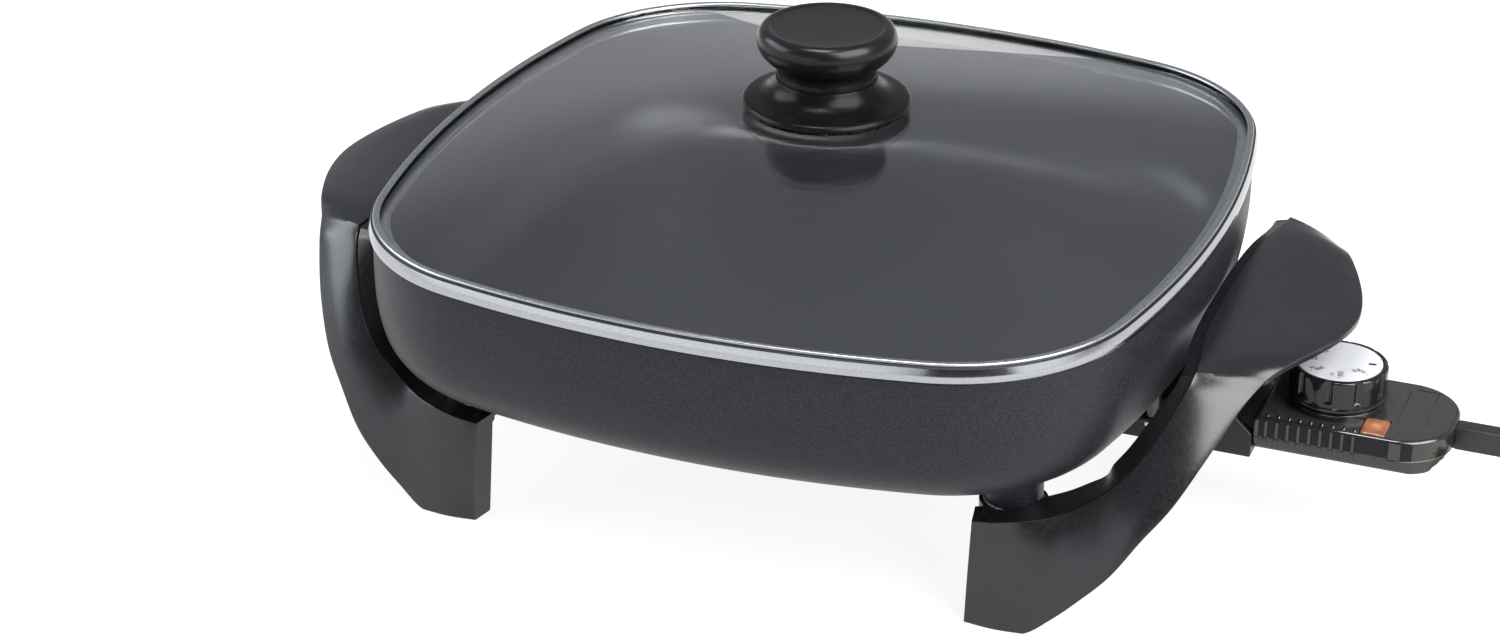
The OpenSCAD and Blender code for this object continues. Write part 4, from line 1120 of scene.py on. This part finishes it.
def numerals():
    """Plain numbers round the plate, raised by a tenth of a millimetre of ink."""
    made = []

    def text(body, size, angle, radius, turn):
        cu = bpy.data.curves.new("t", "FONT")
        cu.body = body
        cu.size = size * MM
        cu.align_x = "CENTER"
        cu.align_y = "CENTER"
        cu.extrude = 0.00004
        cu.resolution_u = 3
        ob = bpy.data.objects.new("t", cu)
        scene.collection.objects.link(ob)
        a = math.radians(angle)
        ob.matrix_world = Matrix.Translation(((201.4 + radius * math.cos(a)) * MM, radius * math.sin(a) * MM, 69.93 * MM)) @ \
            Matrix.Rotation(math.radians(turn), 4, "Z")
        bpy.context.view_layer.update()
        dg = bpy.context.evaluated_depsgraph_get()
        me = bpy.data.meshes.new_from_object(ob.evaluated_get(dg))
        me.transform(ob.matrix_world)
        bpy.data.objects.remove(ob)
        o2 = bpy.data.objects.new("t", me)
        scene.collection.objects.link(o2)
        me.materials.clear()
        me.materials.append(M["ink"])
        made.append(o2)
    for ang, big, small, sa, sr in ((137, "200", "95", 124, 10.6), (-175, "250", "120", 172, 10.6), (-127, "300", "150", -135, 11.6),
                                    (-79, "350", "175", -93, 11.0), (-31, "400", "205", -41, 8.6)):
        text(big, 2.85, ang + 2, 10.0, ang + 2)
        text(small, 1.75, sa, sr, sa)
        a = math.radians(ang)
        made.append(cyl_mesh("t", (201.4 + 13.4 * math.cos(a), 13.4 * math.sin(a)), 0.28, 69.9, 69.96, M["ink"], 16))
    a = math.radians(9)
    ca, sa = math.cos(a), math.sin(a)
    bar = [(201.4 + 11.8 * ca + u * ca - v * sa, 11.9 * sa + u * sa + v * ca) for u, v in rounded_rect(2.9, 1.3, 0.6, 4)]
    made.append(prism("t", bar, 69.9, 69.97, M["ink"]))
    ob = join(made, "dial_numerals")
    return finish_piece(ob, "dial")


numerals()


# ------------------------------------------------------------------ terminal guard, screws, washers
def guard():
    ob = box_mesh("terminal_guard_shell", (121, -24.5, 37), (176, 24.5, 54.7), M["guard"])
    ears = [box_mesh("c", (132, -31.4, 47.3), (147, 31.4, 49.3), M["guard"])]
    boolean(ob, ears, "UNION")
    wedge = [(167, 55.2), (167, 54.7), (176.1, 46.2), (177, 46.2), (177, 55.2)]
    wv = [(x, y, z) for y in (-40, 40) for x, z in wedge]
    cuts = [box_mesh("c", (123.5, -22, 39.5), (177, 22, 52.5), M["guard"]), box_mesh("c", (120, -14.6, 41), (124, 14.6, 56), M["guard"]),
            box_mesh("c", (120, -14.6, 52), (128.5, 14.6, 56), M["guard"]),
            new_object("c", wv, grid_faces(2, 5, False) + [tuple(range(5)), tuple(range(5, 10))], M["guard"], None)]
    for s in (-1, 1):
        cuts.append(cyl_mesh("c", (139.5, 27.7 * s), 1.5, 46, 51, M["guard"], 32))
    boolean(ob, cuts)
    bevel(ob, 0.5, 3, 40, 40)
    return finish_piece(ob, "skillet", ("terminal_guard",))


guard()


def handle_hardware():
    made = []
    for sx in (-1, 1):
        for sy in (-1, 1):
            made.append(lathe("w", [(2.7, 40.3), (11, 40.3), (11, 41.1), (2.7, 41.1)], M["screw"], None, centre=(106.5 * sx, 90 * sy), radii=0.2, n=96))
    ob = join(made, "handle_seat_washers")
    smooth(ob, 35)
    finish_piece(ob, "skillet", ("handle_washers",))
    made = []
    for sx in (-1, 1):
        for sy in (-1, 1):
            made.append(lathe("w", [(0.0, 34.4), (1.6, 34.4), (1.6, 33.9), (4.0, 33.6), (4.6, 34.4), (4.6, 36.3), (2.45, 36.3), (2.45, 51.0), (1.6, 51.3), (0, 51.3)],
                              M["screw"], None, centre=(106.5 * sx, 90 * sy), radii=[0, .1, .2, .4, .4, .2, .1, .3, .2, 0], n=64, closed=False))
    ob = join(made, "handle_pan_screws")
    smooth(ob, 35)
    finish_piece(ob, "skillet", ("handle_screws",))


handle_hardware()


# ------------------------------------------------------------------ carried-over CAD nodes
CARRIED = {
    "heating_element": "aluminium", "element_terminals": "screw", "terminal_bushings": "ceramic", "guard_screws": "screw",
    "knob_insert": "brass", "knob_gaskets": "silicone", "knob_washer": "screw", "knob_screw": "screw", "housing_screws": "screw",
    "neon_lamp": "lens", "lamp_resistor": "resistor", "probe_tube": "aluminium", "bimetal_strip": "screw", "push_bead": "ceramic",
    "probe_flange": "brass", "terminal_receptacles": "brass", "lead_strips": "copper", "contact_stack": "ceramic",
    "upper_contact_arm": "brass", "lower_contact_arm": "brass", "plug_blades": "brass", "dial_shaft": "screw", "shaft_clip": "screw",
    "plunger": "ceramic"}
for node, mat in CARRIED.items():
    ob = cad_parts[node]
    if not ob.material_slots:
        ob.data.materials.append(None)
    for s in ob.material_slots:
        s.material = M[mat]


# ------------------------------------------------------------------ floor and light
def stage_mesh():
    n, size = 40, 6.0
    me = bpy.data.meshes.new("floor")
    bm = bmesh.new()
    v = [[bm.verts.new(((-size + 2 * size * i / n), (-size + 2 * size * j / n), 0.0)) for j in range(n + 1)] for i in range(n + 1)]
    for i in range(n):
        for j in range(n):
            bm.faces.new((v[i][j], v[i + 1][j], v[i + 1][j + 1], v[i][j + 1]))
    bm.to_mesh(me)
    bm.free()
    ob = bpy.data.objects.new("floor", me)
    scene.collection.objects.link(ob)
    me.materials.append(M["floor"])


M["floor"] = material("floor_paper", (0.18, 0.18, 0.184), (0.20, 0.20, 0.204), (0.75, 0.85), scale=60, bump=0.0)
next(n for n in M["floor"].node_tree.nodes if n.type == "BSDF_PRINCIPLED").inputs["Emission Color"].default_value = (1, 1, 1, 1)
next(n for n in M["floor"].node_tree.nodes if n.type == "BSDF_PRINCIPLED").inputs["Emission Strength"].default_value = 0.88
stage_mesh()


def area(name, loc, target, size, power, shape="RECTANGLE", size_y=None, colour=(1, 1, 1)):
    li = bpy.data.lights.new(name, "AREA")
    li.shape = shape
    li.size = size
    if shape == "RECTANGLE":
        li.size_y = size_y or size
    li.energy = power
    li.color = colour
    ob = bpy.data.objects.new(name, li)
    scene.collection.objects.link(ob)
    ob.location = loc
    d = Vector(target) - Vector(loc)
    ob.rotation_euler = d.to_track_quat("-Z", "Y").to_euler()
    return ob


area("top_soft", (-0.10, -0.42, 2.3), (0.0, 0.0, 0.05), 0.85, 34, size_y=0.65)
area("right_key", (1.52, -0.62, 1.47), (0.05, 0.0, 0.06), 1.9, 100, size_y=1.7)
area("left_soft", (-1.90, -0.44, 1.08), (0.0, 0.0, 0.06), 1.9, 32, size_y=0.95, colour=(0.86, 0.93, 1.0))


def studio_world():
    """Pale surround: a light band near the horizon with one dim stretch at the front right, and a softer sky."""
    world = bpy.data.worlds.new("studio")
    scene.world = world
    world.use_nodes = True
    nt = world.node_tree
    bg = next(n for n in nt.nodes if n.type == "BACKGROUND")

    def node(kind, **sockets):
        n = nt.nodes.new(kind)
        for k, v in sockets.items():
            n.inputs[k].default_value = v
        return n

    def ranged(source, a, b, lo, hi):
        n = nt.nodes.new("ShaderNodeMapRange")
        n.interpolation_type = "SMOOTHSTEP"
        for k, v in (("From Min", a), ("From Max", b), ("To Min", lo), ("To Max", hi)):
            n.inputs[k].default_value = v
        nt.links.new(source, n.inputs["Value"])
        return n.outputs[0]

    def math_node(op, a, b):
        n = nt.nodes.new("ShaderNodeMath")
        n.operation = op
        for k, v in enumerate((a, b)):
            if isinstance(v, float):
                n.inputs[k].default_value = v
            else:
                nt.links.new(v, n.inputs[k])
        return n.outputs[0]
    tc = nt.nodes.new("ShaderNodeTexCoord")
    sep = nt.nodes.new("ShaderNodeSeparateXYZ")
    nt.links.new(tc.outputs["Generated"], sep.inputs[0])
    dot = nt.nodes.new("ShaderNodeVectorMath")
    dot.operation = "DOT_PRODUCT"
    dot.inputs[1].default_value = (0.5, -0.866, 0.0)
    nt.links.new(tc.outputs["Generated"], dot.inputs[0])
    band = ranged(sep.outputs[2], 0.14, 0.33, 1.0, 0.0)
    dim = ranged(dot.outputs["Value"], 0.88, 0.935, 1.0, 0.03)
    rear = ranged(sep.outputs[1], -0.35, 0.35, 0.0, 1.0)
    sky = ranged(rear, 0.0, 1.0, 0.13, 0.38)
    ring = ranged(rear, 0.0, 1.0, 1.6, 0.10)
    total = math_node("MULTIPLY", math_node("ADD", sky, math_node("MULTIPLY", band, ring)), dim)
    nt.links.new(total, bg.inputs["Strength"])
    bg.inputs["Color"].default_value = (0.92, 0.95, 1.0, 1)


studio_world()
scene.view_settings.view_transform = "Standard"
scene.view_settings.look = "None"
